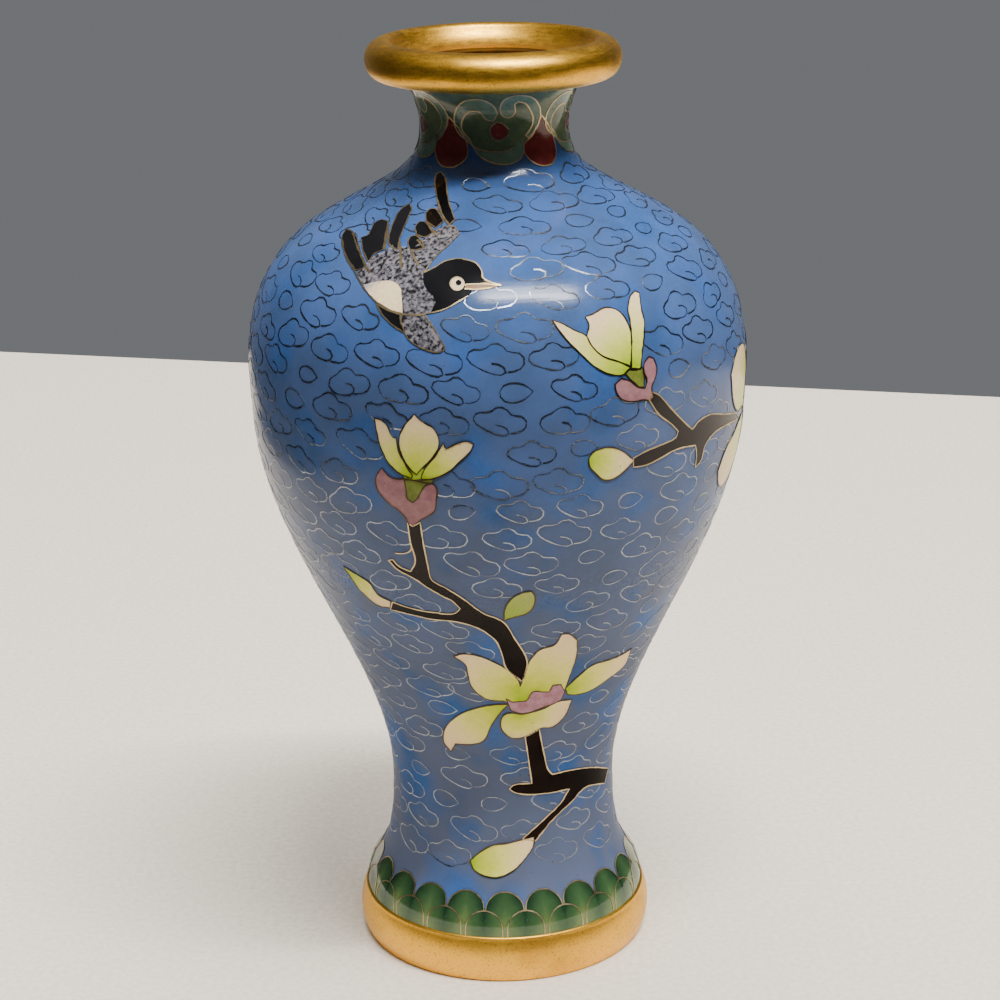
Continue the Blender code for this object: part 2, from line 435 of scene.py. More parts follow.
# The left scroll's upper edge and the lobe's lower edge, which cells and wires of the neck share
SCROLL_OVER = [
    (493.4, 121), (497.4, 113.8), (494, 106.4), (486, 100.8), (475.4, 99), (464.6, 100.8),
    (458, 106.4), (455, 114.5), (455.3, 124), (459.3, 133.2), (467, 140),
]
LOBE_UNDER = [
    (473, 146), (478, 154), (487.4, 161), (499.5, 164.5), (510, 164), (519.5, 159.3),
    (522.9, 153.3), (523.6, 146),
]

# One scroll-headed lappet of the neck and the lobe on its right
LAPPET = Motif(
    cells=(
        Cell("neck", [
            (470, 103), (458, 108), (455, 114.5), (455.3, 124), (459.3, 133.2), (467, 140),
            *LOBE_UNDER, (522, 138), (531, 130), (536, 117), (528, 104),
        ], layer=-1, wired=False),
        Cell("sage", [
            *SCROLL_OVER, (474, 146), (484, 151), (494, 153), (508, 151), (521, 139),
            *reversed(LOBE_UNDER), (470, 139), (464, 132), (462, 125),
            (464, 117), (470, 111.5), (478, 111), (482, 114), (486, 119),
        ], wired=False),
        Cell("sage", [
            (514.2, 104), (515, 110.4), (512.2, 115.8), (507.5, 117.5), (502, 115),
            (500, 108.4), (502.8, 101), (510.2, 96.4), (522.2, 95), (533, 97.7),
            (539, 106.4), (539.6, 117), (536.3, 127), (528, 137.5), (525, 135),
            (531, 126.5), (532.7, 118.5), (530.3, 110.4), (525, 103), (518.2, 101),
        ]),
        Cell("red", disc(499.5, 131, 8.4), layer=1, wired=False),
        Cell("red", [
            (541, 115), (536, 126.5), (530.5, 137), (523.6, 144), (523.6, 151), (527.6, 158),
            (535.6, 164), (543.7, 166), (551.7, 164), (555, 156), (554.4, 144), (551, 132),
            (546, 122),
        ]),
    ),
    wires=(
        Wire([(508.8, 129), (502, 123.2), (496.8, 121.8), (490.8, 126.5), (490, 133.2),
              (493.4, 140), (499.5, 140.8), (504.8, 137.5), (508.8, 134.6)]),
        Wire([*SCROLL_OVER, *LOBE_UNDER, (521.5, 139)]),
        Wire([(493.4, 121), (486, 119), (482, 114), (478, 111), (470, 111.5), (464, 117),
              (462, 125), (464, 132), (470, 139), (474, 146), (484, 150.5), (494, 152),
              (507, 150.5), (516, 146)]),
    ),
)
LAPPETS_AROUND = 5
NECK_GREEN_PIXEL = (499.5, 142)
NECK_ROWS = 12
NECK_GROUND_LAYER = -2

# Border of overlapping scales above the foot ring
SCALES_AROUND = 21
SCALE_ROW_TOPS = (2.9 * MM, 5.0 * MM)
SCALE_HALF_WIDTH = 1.95 * MM
SCALE_COLUMNS = 12
SCALE_ROWS = 5
SCALE_SHADE_UPWARD = 0.6
SCALE_SHADE_SIDEWAYS = 0.9
SCALE_ARC_STEPS = 10
SCALE_POINTS = 16

# A cloud's wire, with the cloud's length as 1: a hook inside, then round the three lobes
CLOUD_LINES = {
    "cloud_a": [
        (-0.07, -0.06), (0.03, -0.075), (0.13, -0.13), (0.185, -0.2), (0.14, -0.27),
        (-0.04, -0.243), (-0.27, -0.143), (-0.44, -0.03), (-0.5, 0.057), (-0.44, 0.17),
        (-0.33, 0.186), (-0.186, 0.177), (-0.1, 0.257), (0.07, 0.27), (0.186, 0.17),
        (0.23, 0.115), (0.386, 0.11), (0.5, 0.0), (0.47, -0.13), (0.357, -0.2), (0.2, -0.22),
    ],
    "cloud_b": [
        (-0.05, -0.02), (0.08, -0.05), (0.15, -0.13), (0.08, -0.22), (-0.12, -0.24),
        (-0.34, -0.2), (-0.47, -0.08), (-0.43, 0.08), (-0.28, 0.13), (-0.2, 0.2),
        (-0.02, 0.27), (0.14, 0.2), (0.2, 0.12), (0.36, 0.13), (0.49, 0.03), (0.48, -0.1),
        (0.36, -0.19), (0.12, -0.22),
    ],
    "cloud_c": [
        (0.3, 0.0), (0.16, 0.12), (-0.04, 0.17), (-0.22, 0.12), (-0.29, 0.0), (-0.22, -0.12),
        (-0.04, -0.17), (0.16, -0.12), (0.3, 0.0),
    ],
}

# How much of its width each piece of wires has lost in the most worn places
WIRE_WEAR = {
    "cloud_wires": 0.7,
    "petal_wires": 0.45,
    "picture_wires": 0.4,
    "neck_wires": 0.3,
    "scale_wires": 0.5,
}
WEAR_LENGTH = 1.2 * MM
WEAR_SPREAD = (0.42, 0.62)

# A wire's metal: its name, the name of its colour, its tarnish and its roughness. Drawn brass is
# ground flush: gilded it glints warm, worn it is dull and grey, and by the petals fire browned it
GILDED_WIRE = ("gilded wire", "wire", "#8A6A3C", 0.34)
WIRE_METALS = {
    "cloud_wires": ("worn brass wire", "worn_wire", "#5E5C5C", 0.22),
    "petal_wires": ("fire-darkened wire", "dark_wire", "#2A2218", 0.3),
}

# A wire's cross-section, a triangle with one flat side up, drawn in a circle with radius 1
WIRE_SIDES = 3
TRIANGLE_DEPTH = 1.5
TRIANGLE_SIDE = math.sqrt(3.0)
FLAT_SIDE_BACK = -0.5

# The cloud wires' thickness, low on the body and high on it
THINNING_RUNS = (40.0 * MM, 78.0 * MM)
THINNING = (0.95, 1.4)

# Enamels whose edging wires the fire darkened
DULL_EDGED = ("petal", "leaf", "pink", "olive", "stamen")

# The clouds: points of a line, how often each kind comes, and how far chance moves each along its
# row, tilts it and sizes it
CLOUD_POINTS = 26
SMALL_CLOUD_POINTS = 14
CLOUD_KINDS = (0, 1, 2)
CLOUD_WEIGHTS = (5, 3, 2.2)
CLOUD_JITTER = 0.08
CLOUD_ROW_JITTER = 0.15
CLOUD_TILT = 0.16
CLOUD_SCALES = (0.84, 1.04)
FEWEST_CLOUDS = 5
LOWEST_CLOUDS = 7.3 * MM
HIGHEST_CLOUDS = 94.6 * MM


def linear(colour):
    """Linear red, green, blue and alpha of an sRGB hex colour."""
    values = [int(colour[place : place + 2], 16) / 255 for place in (1, 3, 5)]
    return [v / 12.92 if v <= 0.04045 else ((v + 0.055) / 1.055) ** 2.4 for v in values] + [1.0]


def colour_choice(name, colour, description):
    """A colour that a user may change."""
    return bpy.props.FloatVectorProperty(
        name=name,
        description=description,
        subtype="COLOR",
        size=4,
        min=0.0,
        max=1.0,
        default=linear(colour),
    )


def length_choice(name, length, description):
    """A length that a user may change."""
    return bpy.props.FloatProperty(
        name=name,
        description=description,
        unit="LENGTH",
        precision=5,
        min=0.0,
        default=length,
    )


class VaseSizes(bpy.types.PropertyGroup):
    """Sizes of the inlay."""

    wire_width: length_choice("Wire width", 0.16 * MM, "Width of the picture's wires")
    cloud_wire_width: length_choice("Cloud wire width", 0.14 * MM, "Width of the cloud wires")
    wire_depth: length_choice("Wire depth", 0.12 * MM, "How deep a wire stands in the enamel")
    cloud_wire_rise: length_choice("Cloud wire rise", 0.03 * MM, "How far cloud wires stand proud")
    cell_rise: length_choice("Cell rise", 0.05 * MM, "How far the picture's enamel stands proud")
    wire_rise: length_choice("Wire rise", 0.085 * MM, "How far the picture's wires stand proud")
    cloud_length: length_choice("Cloud length", 5.6 * MM, "Length of one cloud scroll")
    cloud_pitch: length_choice("Cloud pitch", 5.95 * MM, "Distance between clouds of a row")
    cloud_rows: length_choice("Cloud rows", 3.1 * MM, "Distance between rows of clouds")
    cloud_seed: bpy.props.IntProperty(
        name="Cloud seed",
        description="Chooses how the clouds are strewn",
        default=11,
    )


class VaseColours(bpy.types.PropertyGroup):
    """Colours of the enamels and the metal."""

    blue: colour_choice("Blue", "#3F66A8", "Ground of the body")
    deep_blue: colour_choice("Deep blue", "#34588E", "Darker clouding in the ground")
    neck_green: colour_choice("Neck green", "#6E8058", "Ground of the neck")
    scale_green: colour_choice("Scale green", "#76884C", "Middle of a scale")
    deep_green: colour_choice("Deep green", "#183220", "Edge of a scale")
    black: colour_choice("Black", "#0A0A0C", "Head and wing feathers")
    grey: colour_choice("Grey", "#858185", "Light flecks of the mottled feathers")
    beak: colour_choice("Beak", "#C29A72", "Beak of the bird")
    cream: colour_choice("Cream", "#FFE8B4", "Belly and eye of the bird")
    petal: colour_choice("Petal", "#FFE6A6", "Outer part of a petal")
    lime: colour_choice("Lime", "#A4C400", "Root of a petal")
    leaf: colour_choice("Leaf", "#9AB836", "Young leaf")
    pink: colour_choice("Pink", "#AC7C80", "Calyx")
    stamen: colour_choice("Stamen", "#BC90A0", "Stamens")
    olive: colour_choice("Olive", "#7F8A3A", "Core of a flower")
    bark: colour_choice("Bark", "#140F0D", "Branches")
    sage: colour_choice("Sage", "#66886E", "Scrolls of the neck")
    red: colour_choice("Red", "#883630", "Lobes of the neck")
    inside: colour_choice("Inside", "#3E93B4", "Enamel of the inside and the base")
    gilt: colour_choice("Gilt", "#F4BA40", "Mouth rim and foot ring")
    wire: colour_choice("Wire", "#C2AE86", "Wires between the cells")
    worn_wire: colour_choice("Worn wire", "#868E9A", "Wires of the clouds")
    dark_wire: colour_choice("Dark wire", "#4E4232", "Wires round the petals")


def curve(start, leave, end, arrive, ease, steps):
    """Points of a smooth curve in a profile, without its first one, eased at both ends."""
    rise = abs(end[1] - start[1])
    corners = (
        start,
        (start[0] + ease[0] * rise * math.cos(leave), start[1] + ease[0] * rise * math.sin(leave)),
        (end[0] - ease[1] * rise * math.cos(arrive), end[1] - ease[1] * rise * math.sin(arrive)),
        end,
    )
    points = []
    for step in range(1, steps + 1):
        t = step / steps
        weights = ((1 - t) ** 3, 3 * (1 - t) ** 2 * t, 3 * (1 - t) * t * t, t**3)
        radius = sum(w * c[0] for w, c in zip(weights, corners))
        height = sum(w * c[1] for w, c in zip(weights, corners))
        points.append((radius, height))
    return points


def arc(centre, radii, first, last, steps):
    """Points of an elliptic arc, both ends included; angles in degrees."""
    points = []
    for step in range(steps + 1):
        angle = math.radians(first + (last - first) * step / steps)
        points.append(
            (centre[0] + radii[0] * math.cos(angle), centre[1] + radii[1] * math.sin(angle))
        )
    return points


def outer_side():
    """Points of the body's outer side, from the foot ring up to the rim."""
    flare = (FLARE_RADIUS, FOOT_RING_HEIGHT + JOINT_GAP)
    waist = (WAIST_RADIUS, flare[1] + FLARE_HEIGHT)
    shoulder = (SHOULDER_RADIUS, waist[1] + BELLY_HEIGHT)
    slope_radius = NECK_RADIUS + DOME_SHARE * (SHOULDER_RADIUS - NECK_RADIUS)
    slope = (slope_radius, shoulder[1] + DOME_HEIGHT)
    neck = (NECK_RADIUS, slope[1] + HOLLOW_HEIGHT)
    lip = (LIP_RADIUS, neck[1] + LIP_HEIGHT)
    up_the_dome = INWARD - DOME_SLOPE
    side = [flare]
    side += curve(flare, UP, waist, UP, FLARE_EASE, FLARE_STEPS)
    side += curve(waist, UP, shoulder, UP, BELLY_EASE, BELLY_STEPS)
    side += curve(shoulder, UP, slope, up_the_dome, DOME_EASE, DOME_STEPS)
    side += curve(slope, up_the_dome, neck, UP, HOLLOW_EASE, HOLLOW_STEPS)
    side += curve(neck, UP, lip, LIP_SLOPE, LIP_EASE, LIP_STEPS)
    return np.array(side)


SIDE = outer_side()
RUNS = np.concatenate(([0.0], np.cumsum(np.hypot(*np.diff(SIDE, axis=0).T))))
SLOPES = np.gradient(SIDE, RUNS, axis=0)


def radius_at(runs):
    """Radius of the body's side."""
    return np.interp(runs, RUNS, SIDE[:, 0])


def on_body(turns, runs, rise):
    """Points of the body's side, or proud of it by a rise."""
    radius = radius_at(runs)
    height = np.interp(runs, RUNS, SIDE[:, 1])
    outward = np.interp(runs, RUNS, SLOPES[:, 1])
    upward = -np.interp(runs, RUNS, SLOPES[:, 0])
    radius = radius + rise * outward
    height = height + rise * upward
    return np.stack([radius * np.sin(turns), -radius * np.cos(turns), height], axis=1)


def camera_axes():
    """The camera's right, up and backward directions."""
    forward = Vector((0.0, math.cos(CAMERA_PITCH), -math.sin(CAMERA_PITCH)))
    level = Vector((1.0, 0.0, 0.0))
    upright = level.cross(forward)
    right = math.cos(CAMERA_ROLL) * level + math.sin(CAMERA_ROLL) * upright
    up = math.cos(CAMERA_ROLL) * upright - math.sin(CAMERA_ROLL) * level
    return right, up, -forward


def cast(pixels):
    """Turn and run of the place on the body that each pixel of the photograph shows."""
    right, up, back = (np.array(axis) for axis in camera_axes())
    across = (np.array([p[0] for p in pixels]) - PICTURE_CENTRE[0]) / CAMERA_FOCUS
    down = (np.array([p[1] for p in pixels]) - PICTURE_CENTRE[1]) / CAMERA_FOCUS
    sight = across[:, None] * right - down[:, None] * up - back
    sight /= np.linalg.norm(sight, axis=1)[:, None]
    along = np.linspace(NEAREST_SIGHT, FARTHEST_SIGHT, SIGHT_STEPS)
    points = np.array(CAMERA_PLACE) + along[None, :, None] * sight[:, None, :]
    side = np.interp(points[:, :, 2], SIDE[:, 1], SIDE[:, 0], right=-1.0)
    outside = np.hypot(points[:, :, 0], points[:, :, 1]) - side
    inside = outside < 0
    first = np.where(inside.any(axis=1), inside.argmax(axis=1), outside.argmin(axis=1))
    met = points[np.arange(len(first)), first]
    turns = np.arctan2(met[:, 0], -met[:, 1])
    return turns, np.interp(met[:, 2], SIDE[:, 1], RUNS)


def smooth(points, closed, step):
    """A smooth line through points, which keeps the sharp corners that they make."""
    corners = [Vector(p) for p in points]
    count = len(corners)
    spans = count if closed else count - 1
    lengths = [(corners[(i + 1) % count] - corners[i]).length for i in range(spans)]
    ways = [(corners[(i + 1) % count] - corners[i]) / lengths[i] for i in range(spans)]
    line = []
    for i in range(spans):
        before = ways[i - 1] if closed or i > 0 else ways[i]
        after = ways[(i + 1) % spans] if closed or i + 1 < spans else ways[i]
        leave = ways[i] if before.angle(ways[i]) > CORNER_TURN else (before + ways[i]).normalized()
        arrive = ways[i] if ways[i].angle(after) > CORNER_TURN else (ways[i] + after).normalized()
        start = corners[i]
        end = corners[(i + 1) % count]
        steps = max(1, round(lengths[i] / step))
        for part in range(steps):
            t = part / steps
            line.append(
                (2 * t**3 - 3 * t**2 + 1) * start
                + (t**3 - 2 * t**2 + t) * lengths[i] * leave
                + (3 * t**2 - 2 * t**3) * end
                + (t**3 - t**2) * lengths[i] * arrive
            )
    if not closed:
        line.append(corners[-1])
    return line


def unrolled(points):
    """Turn and run of points given in degrees and millimetres."""
    turns, runs = np.array(points).T
    return np.radians(turns), runs * MM


def drawn(motif, place=cast, step=LINE_STEP):
    """A motif's cells and wires with every line placed on the body, as turns and runs."""
    cells = []
    wires = []
    for cell in motif.cells:
        line = place(smooth(cell.outline, True, step))
        root = place([cell.root]) if cell.root else None
        cells.append(cell._replace(outline=line, root=root))
        if cell.wired:
            wires.append(Wire(line, 1.0, True, cell.enamel in DULL_EDGED))
    for wire in motif.wires:
        wires.append(wire._replace(line=place(smooth(wire.line, wire.closed, step))))
    return Motif(cells, wires)


def carried(motif, start, end, mirrored=False):
    """A drawn motif carried from one place of the body to another, each a turn and a run."""
    share = radius_at(start[1]) / radius_at(end[1]) * (-1.0 if mirrored else 1.0)

    def carry(line):
        return end[0] + (line[0] - start[0]) * share, end[1] + line[1] - start[1]

    cells = [
        c._replace(outline=carry(c.outline), root=carry(c.root) if c.root else None)
        for c in motif.cells
    ]
    return Motif(cells, [w._replace(line=carry(w.line)) for w in motif.wires])


# Kinds of node that several trees use
MATH = "ShaderNodeMath"
MIX = "ShaderNodeMix"
RANGE = "ShaderNodeMapRange"
NOISE = "ShaderNodeTexNoise"
BUMP = "ShaderNodeBump"
SPLIT = "ShaderNodeSeparateXYZ"
JOIN = "ShaderNodeCombineXYZ"
NUMBER = "GeometryNodeInputNamedAttribute"
SHADER = "ShaderNodeBsdfPrincipled"
OUTPUT = "ShaderNodeOutputMaterial"

# The places of a colour Mix node's two colours among its inputs
UNDER = 6
OVER = 7


def add(tree, kind, inputs=None, **settings):
    """Add a node with its settings; an input takes a value, or the socket or node that feeds it."""
    made = tree.nodes.new(kind)
    for name, value in settings.items():
        setattr(made, name, value)
    for name, value in (inputs or {}).items():
        if isinstance(value, bpy.types.Node):
            value = next(socket for socket in value.outputs if socket.enabled)
        if isinstance(value, bpy.types.NodeSocket):
            tree.links.new(value, made.inputs[name])
        else:
            made.inputs[name].default_value = value
    return made


def new_material(name):
    """A material with an empty tree."""
    material = bpy.data.materials.new(name)
    material.use_nodes = True
    material.node_tree.nodes.clear()
    return material, material.node_tree


# Marks of a real size in the enamel. A spread is the part of a noise's range that is used, and a
# bump is a strength and a depth
CLOUDING_SIZE = 5.0 * MM
CLOUDING_SPREAD = (0.35, 0.65)
ENAMEL_GRAIN = 0.3 * MM
GRAIN_SPREAD = (0.3, 0.7)
GRAIN_CONTRAST = 0.07
PIT_SPACING = 1.3 * MM
PIT_SIZE = 0.055
PITTED_SHARE = 0.5
PIT_COLOUR = "#1A1A20"
PIT_ROUGHNESS = 0.5
PIT_BUMP = (0.6, 0.03 * MM)
POLISH_WAVE = 7.0 * MM
WAVE_BUMP = (0.35, 0.02 * MM)
# Real polishing scratches are too fine to show, so they are drawn far coarser than life
SCRATCH_WIDTH = 0.25 * MM
SCRATCH_STRETCH = (0.03, 0.03, 1.0)
SCRATCH_BUMP = (0.6, 0.02 * MM)
NO_SCRATCHES = 0.6
# Noises lie tilted, so that their grid doesn't show as level bands round the body
NOISE_TILT = (0.6, 0.4, 0.0)
ENAMEL_IOR = 1.47
ENAMEL_ROUGHNESS = (0.07, 0.12)

# Wear grows from 0 to 1 between two heights: it dulls the enamel and hides the scratches by the
# share named above. Over the same heights a painted reflection of the pale floor greys the blue
# ground in patches
WEAR_AND_REFLECTION_HEIGHTS = (96.0 * MM, 36.0 * MM)
DULLNESS = 0.22
FULL_GLOSS = 0.5
WORN_GLOSS = 0.015
PAINTED_REFLECTION_COLOUR = "#646878"
PAINTED_REFLECTION_MOST = 0.76
PAINTED_REFLECTION_PATCH = 7.0 * MM
PAINTED_REFLECTION_SPREAD = (0.3, 0.5)


def enamel(
    name,
    tones,
    spots=CLOUDING_SIZE,
    spread=CLOUDING_SPREAD,
    speckle=GRAIN_CONTRAST,
    ragged=None,
    reflection_painted=False,
    dulled=True,
):
    """Fired glass enamel, ground flush with the wires and polished.

    It is glossy, with a faintly wavy polish and fine scratches round the vase. Its colour clouds
    from tone to tone, or, where it is ragged, runs through the tones along the piece's own shade.
    It has fine grain and small dark pits. Lower down wear dulls it, and a painted reflection of the
    pale floor lies over it in grey patches.
    """
    material, tree = new_material(name)
    place = add(tree, "ShaderNodeTexCoord").outputs["Object"]
    tilted = add(tree, "ShaderNodeMapping", {"Vector": place, "Rotation": NOISE_TILT})
    share = add(tree, NOISE, {"Vector": tilted, "Scale": 1.0 / spots, "Detail": 3.0})
    if ragged is not None:
        shade = add(tree, "ShaderNodeAttribute", attribute_name="shade").outputs["Fac"]
        share = add(tree, MATH, {0: share, 1: ragged, 2: shade}, operation="MULTIPLY_ADD")
    share = add(tree, RANGE, {"Value": share, "From Min": spread[0], "From Max": spread[1]})
    colour = add(tree, "ShaderNodeValToRGB", {"Fac": share})
    stops = colour.color_ramp.elements
    for stop in range(1, len(tones) - 1):
        stops.new(stop / (len(tones) - 1))
    for stop, tone in zip(stops, tones):
        stop.color = tone
    fine = add(tree, NOISE, {"Vector": tilted, "Scale": 1.0 / ENAMEL_GRAIN, "Detail": 2.0})
    lightness = add(
        tree,
        RANGE,
        {
            "Value": fine,
            "From Min": GRAIN_SPREAD[0],
            "From Max": GRAIN_SPREAD[1],
            "To Min": 1.0 - speckle,
            "To Max": 1.0 + speckle,
        },
    )
    grained = {"Factor": 1.0, UNDER: colour, OVER: lightness}
    colour = add(tree, MIX, grained, data_type="RGBA", blend_type="MULTIPLY")
    rough = add(
        tree,
        RANGE,
        {"Value": fine, "To Min": ENAMEL_ROUGHNESS[0], "To Max": ENAMEL_ROUGHNESS[1]},
    )
    height = add(tree, SPLIT, {0: place}).outputs["Z"]
    low = add(
        tree,
        RANGE,
        {"Value": height, "From Min": WEAR_AND_REFLECTION_HEIGHTS[0], "From Max": WEAR_AND_REFLECTION_HEIGHTS[1]},
    )
    # Painted reflection: a grey veil standing for the pale floor, in patches that grow lower down
    if reflection_painted:
        patch = add(tree, NOISE, {"Vector": tilted, "Scale": 1.0 / PAINTED_REFLECTION_PATCH, "Detail": 2.0})
        low_patch, high_patch = PAINTED_REFLECTION_SPREAD
        patch = add(
            tree,
            RANGE,
            {"Value": patch, "From Min": low_patch, "From Max": high_patch, "To Max": PAINTED_REFLECTION_MOST},
        )
        reflection_share = add(tree, MATH, {0: low, 1: patch}, operation="MULTIPLY")
        colour = add(
            tree, MIX, {"Factor": reflection_share, UNDER: colour, OVER: linear(PAINTED_REFLECTION_COLOUR)}, data_type="RGBA"
        )
    if dulled:
        rough = add(tree, MATH, {0: low, 1: DULLNESS, 2: rough}, operation="MULTIPLY_ADD")
    cells = add(tree, "ShaderNodeTexVoronoi", {"Vector": place, "Scale": 1.0 / PIT_SPACING})
    chosen = add(tree, "ShaderNodeSeparateColor", {"Color": cells.outputs["Color"]})
    chosen = add(tree, MATH, {0: chosen, 1: PITTED_SHARE}, operation="LESS_THAN")
    hole = add(
        tree,
        RANGE,
        {
            "Value": cells.outputs["Distance"],
            "From Min": PIT_SIZE * 0.5,
            "From Max": PIT_SIZE,
            "To Min": 1.0,
            "To Max": 0.0,
        },
    )
    pit = add(tree, MATH, {0: hole, 1: chosen}, operation="MULTIPLY")
    pitted = {"Factor": pit, UNDER: colour, OVER: linear(PIT_COLOUR)}
    colour = add(tree, MIX, pitted, data_type="RGBA")
    rough = add(tree, MATH, {0: pit, 1: PIT_ROUGHNESS, 2: rough}, operation="MULTIPLY_ADD")
    around = add(tree, "ShaderNodeMapping", {"Vector": place, "Scale": SCRATCH_STRETCH})
    scratches = add(tree, NOISE, {"Vector": around, "Scale": 1.0 / SCRATCH_WIDTH, "Detail": 2.0})
    wave = add(tree, NOISE, {"Vector": tilted, "Scale": 1.0 / POLISH_WAVE, "Detail": 1.0})
    strength, depth = SCRATCH_BUMP
    scratched = add(
        tree,
        RANGE,
        {"Value": low, "From Max": NO_SCRATCHES, "To Min": strength, "To Max": 0.0},
    )
    skin = add(tree, BUMP, {"Height": scratches, "Strength": scratched, "Distance": depth})
    for relief, (strength, depth), sunk in ((wave, WAVE_BUMP, False), (pit, PIT_BUMP, True)):
        skin = add(
            tree,
            BUMP,
            {"Height": relief, "Strength": strength, "Distance": depth, "Normal": skin},
            invert=sunk,
        )
    glass = {"Base Color": colour, "Roughness": rough, "Normal": skin, "IOR": ENAMEL_IOR}
    if dulled:
        glass["Specular IOR Level"] = add(
            tree, RANGE, {"Value": low, "To Min": FULL_GLOSS, "To Max": WORN_GLOSS}
        )
    shader = add(tree, SHADER, glass)
    add(tree, OUTPUT, {"Surface": shader})
    return material


# Marks of a real size in the gilding, with spreads and bumps as in the enamel
GILT_SPOTS = 1.3 * MM
GILT_GRAIN = 0.22 * MM
TARNISH_SIZE = 6.0 * MM
TARNISH_SPREAD = (0.5, 0.72)
TARNISH_MOST = 0.4
SPECK_COLOUR = "#6B4517"
SPECK_SPREAD = (0.55, 0.7)
SPECK_MOST = 0.55
SPECK_RAGGED = 0.7
SPECK_BUMP = (0.5, 0.012 * MM)
BRUSHING = (1.0, 1.0, 6.0)
BRUSHED_SPREAD = (0.3, 0.7)
BRUSHED_ROUGHENING = 0.14
BRUSHED_BUMP = (0.3, 0.03 * MM)
GILT_GLOSS = 0.34
BORE_GLOSS = 0.4


def gilding(name, colour, tarnish, gloss):
    """Gilded copper, brushed and worn: a warm satin metal with specks, small dents and tarnish."""
    material, tree = new_material(name)
    place = add(tree, "ShaderNodeTexCoord").outputs["Object"]
    around = add(tree, "ShaderNodeMapping", {"Vector": place, "Scale": BRUSHING})
    brushed = add(tree, NOISE, {"Vector": around, "Scale": 1.0 / GILT_SPOTS, "Detail": 4.0})
    grain = {"Vector": place, "Scale": 1.0 / GILT_GRAIN, "Detail": 2.0, "Roughness": SPECK_RAGGED}
    specks = add(tree, NOISE, grain)
    dull = add(tree, NOISE, {"Vector": place, "Scale": 1.0 / TARNISH_SIZE, "Detail": 5.0})
    toned = colour
    for marks, spread, most, tone in (
        (dull, TARNISH_SPREAD, TARNISH_MOST, tarnish),
        (specks, SPECK_SPREAD, SPECK_MOST, linear(SPECK_COLOUR)),
    ):
        share = add(
            tree,
            RANGE,
            {"Value": marks, "From Min": spread[0], "From Max": spread[1], "To Max": most},
        )
        toned = add(tree, MIX, {"Factor": share, UNDER: toned, OVER: tone}, data_type="RGBA")
    rough = add(
        tree,
        RANGE,
        {
            "Value": brushed,
            "From Min": BRUSHED_SPREAD[0],
            "From Max": BRUSHED_SPREAD[1],
            "To Min": gloss,
            "To Max": gloss + BRUSHED_ROUGHENING,
        },
    )
    strength, depth = BRUSHED_BUMP
    skin = add(tree, BUMP, {"Height": brushed, "Strength": strength, "Distance": depth})
    strength, depth = SPECK_BUMP
    skin = add(
        tree, BUMP, {"Height": specks, "Strength": strength, "Distance": depth, "Normal": skin}
    )
    shader = add(
        tree,
        SHADER,
        {"Base Color": toned, "Roughness": rough, "Normal": skin, "Metallic": 1.0},
    )
    add(tree, OUTPUT, {"Surface": shader})
    return material


def recipes():
    """Tones and settings of every enamel of the picture, by its short name."""
    colours = bpy.context.scene.vase_colours
    return {
        # All are fired glass, so each looks deep and wet, with soft uneven colour under the gloss.
        # Jet black of the head and the wing feathers, nearly even
        "black": ((colours.black, linear("#161619")), {}),
        # Horn of the beak
        "beak": ((colours.beak, linear("#8A6A4C")), {}),
        # Pale belly that greys towards its edge
        "cream": (
            (colours.cream, linear("#F6DDB2"), linear("#A9A4A2")),
            {"ragged": 0.5, "spots": 0.5 * MM, "spread": (0.5, 1.15)},
        ),
        # Grey and black grains that were strewn together and fired into a mottle
        "mottled": (
            (colours.grey, linear("#605D62"), linear("#1B1A1C")),
            {"spots": 0.36 * MM, "spread": (0.38, 0.62)},
        ),
        # Petals that shade from lime at the root to pinkish cream at the tip
        "petal": (
            (colours.lime, linear("#D4DC50"), linear("#F0EA80"), colours.petal, linear("#FFDEB2")),
            {"ragged": 0.3, "spots": 1.4 * MM, "spread": (0.15, 1.15), "speckle": 0.04},
        ),
        # Young leaf, yellow-green with a paler tip
        "leaf": (
            (colours.leaf, linear("#B5BE6C")),
            {"ragged": 0.3, "spots": 1.4 * MM, "spread": (0.1, 1.1), "speckle": 0.04},
        ),
        # Clear young green under the petals' roots, and mossy green of the flowers' cores
        "lime": ((colours.lime, linear("#BFCB58")), {}),
        "olive": ((colours.olive, linear("#656E2A")), {"spots": 1.0 * MM}),
        # Dusty pinks of the calyx and the stamens, clouded in small spots
        "pink": ((colours.pink, linear("#9A6A72")), {"spots": 1.0 * MM}),
        "stamen": ((colours.stamen, linear("#A77684")), {"spots": 1.0 * MM}),
        # Brown-black bark, opaque, which shows nearly only its gloss
        "bark": ((colours.bark, linear("#221815")), {}),
        # Grey-green scrolls, oxblood lobes and bottle green ground of the neck
        "sage": ((colours.sage, linear("#7C9A80")), {"spots": 1.5 * MM}),
        "red": ((colours.red, linear("#702824")), {"spots": 1.5 * MM}),
        "neck": ((colours.neck_green, linear("#5A6E4C")), {"spots": 1.5 * MM}),
        # Scales that are bright in the middle and dark at the edge
        "scale": (
            (colours.scale_green, linear("#3C5A36"), colours.deep_green),
            {"ragged": 0.3, "spots": 1.4 * MM, "spread": (0.1, 1.05), "dulled": False},
        ),
    }


def enamel_named(short):
    """The material of one enamel of the picture, which is made when it is first asked for."""
    name = f"{short} enamel"
    tones, settings = recipes()[short]
    return bpy.data.materials.get(name) or enamel(name, tones, **settings)


def placed(name, data):
    """A new object of the scene."""
    made = bpy.data.objects.new(name, data)
    bpy.context.scene.collection.objects.link(made)
    return made


def shown(name, mesh, slot, *replaced):
    """Show a finished piece: its mesh with its normals outward, on the vase's one body."""
    work = bmesh.new()
    work.from_mesh(mesh)
    bmesh.ops.recalc_face_normals(work, faces=work.faces[:])
    work.to_mesh(mesh)
    work.free()
    mesh.shade_smooth()
    mesh.set_sharp_from_angle(angle=SHARP_ANGLE)
    piece = placed(name, mesh)
    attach(piece, "root")
    if replaced:
        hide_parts(*replaced)


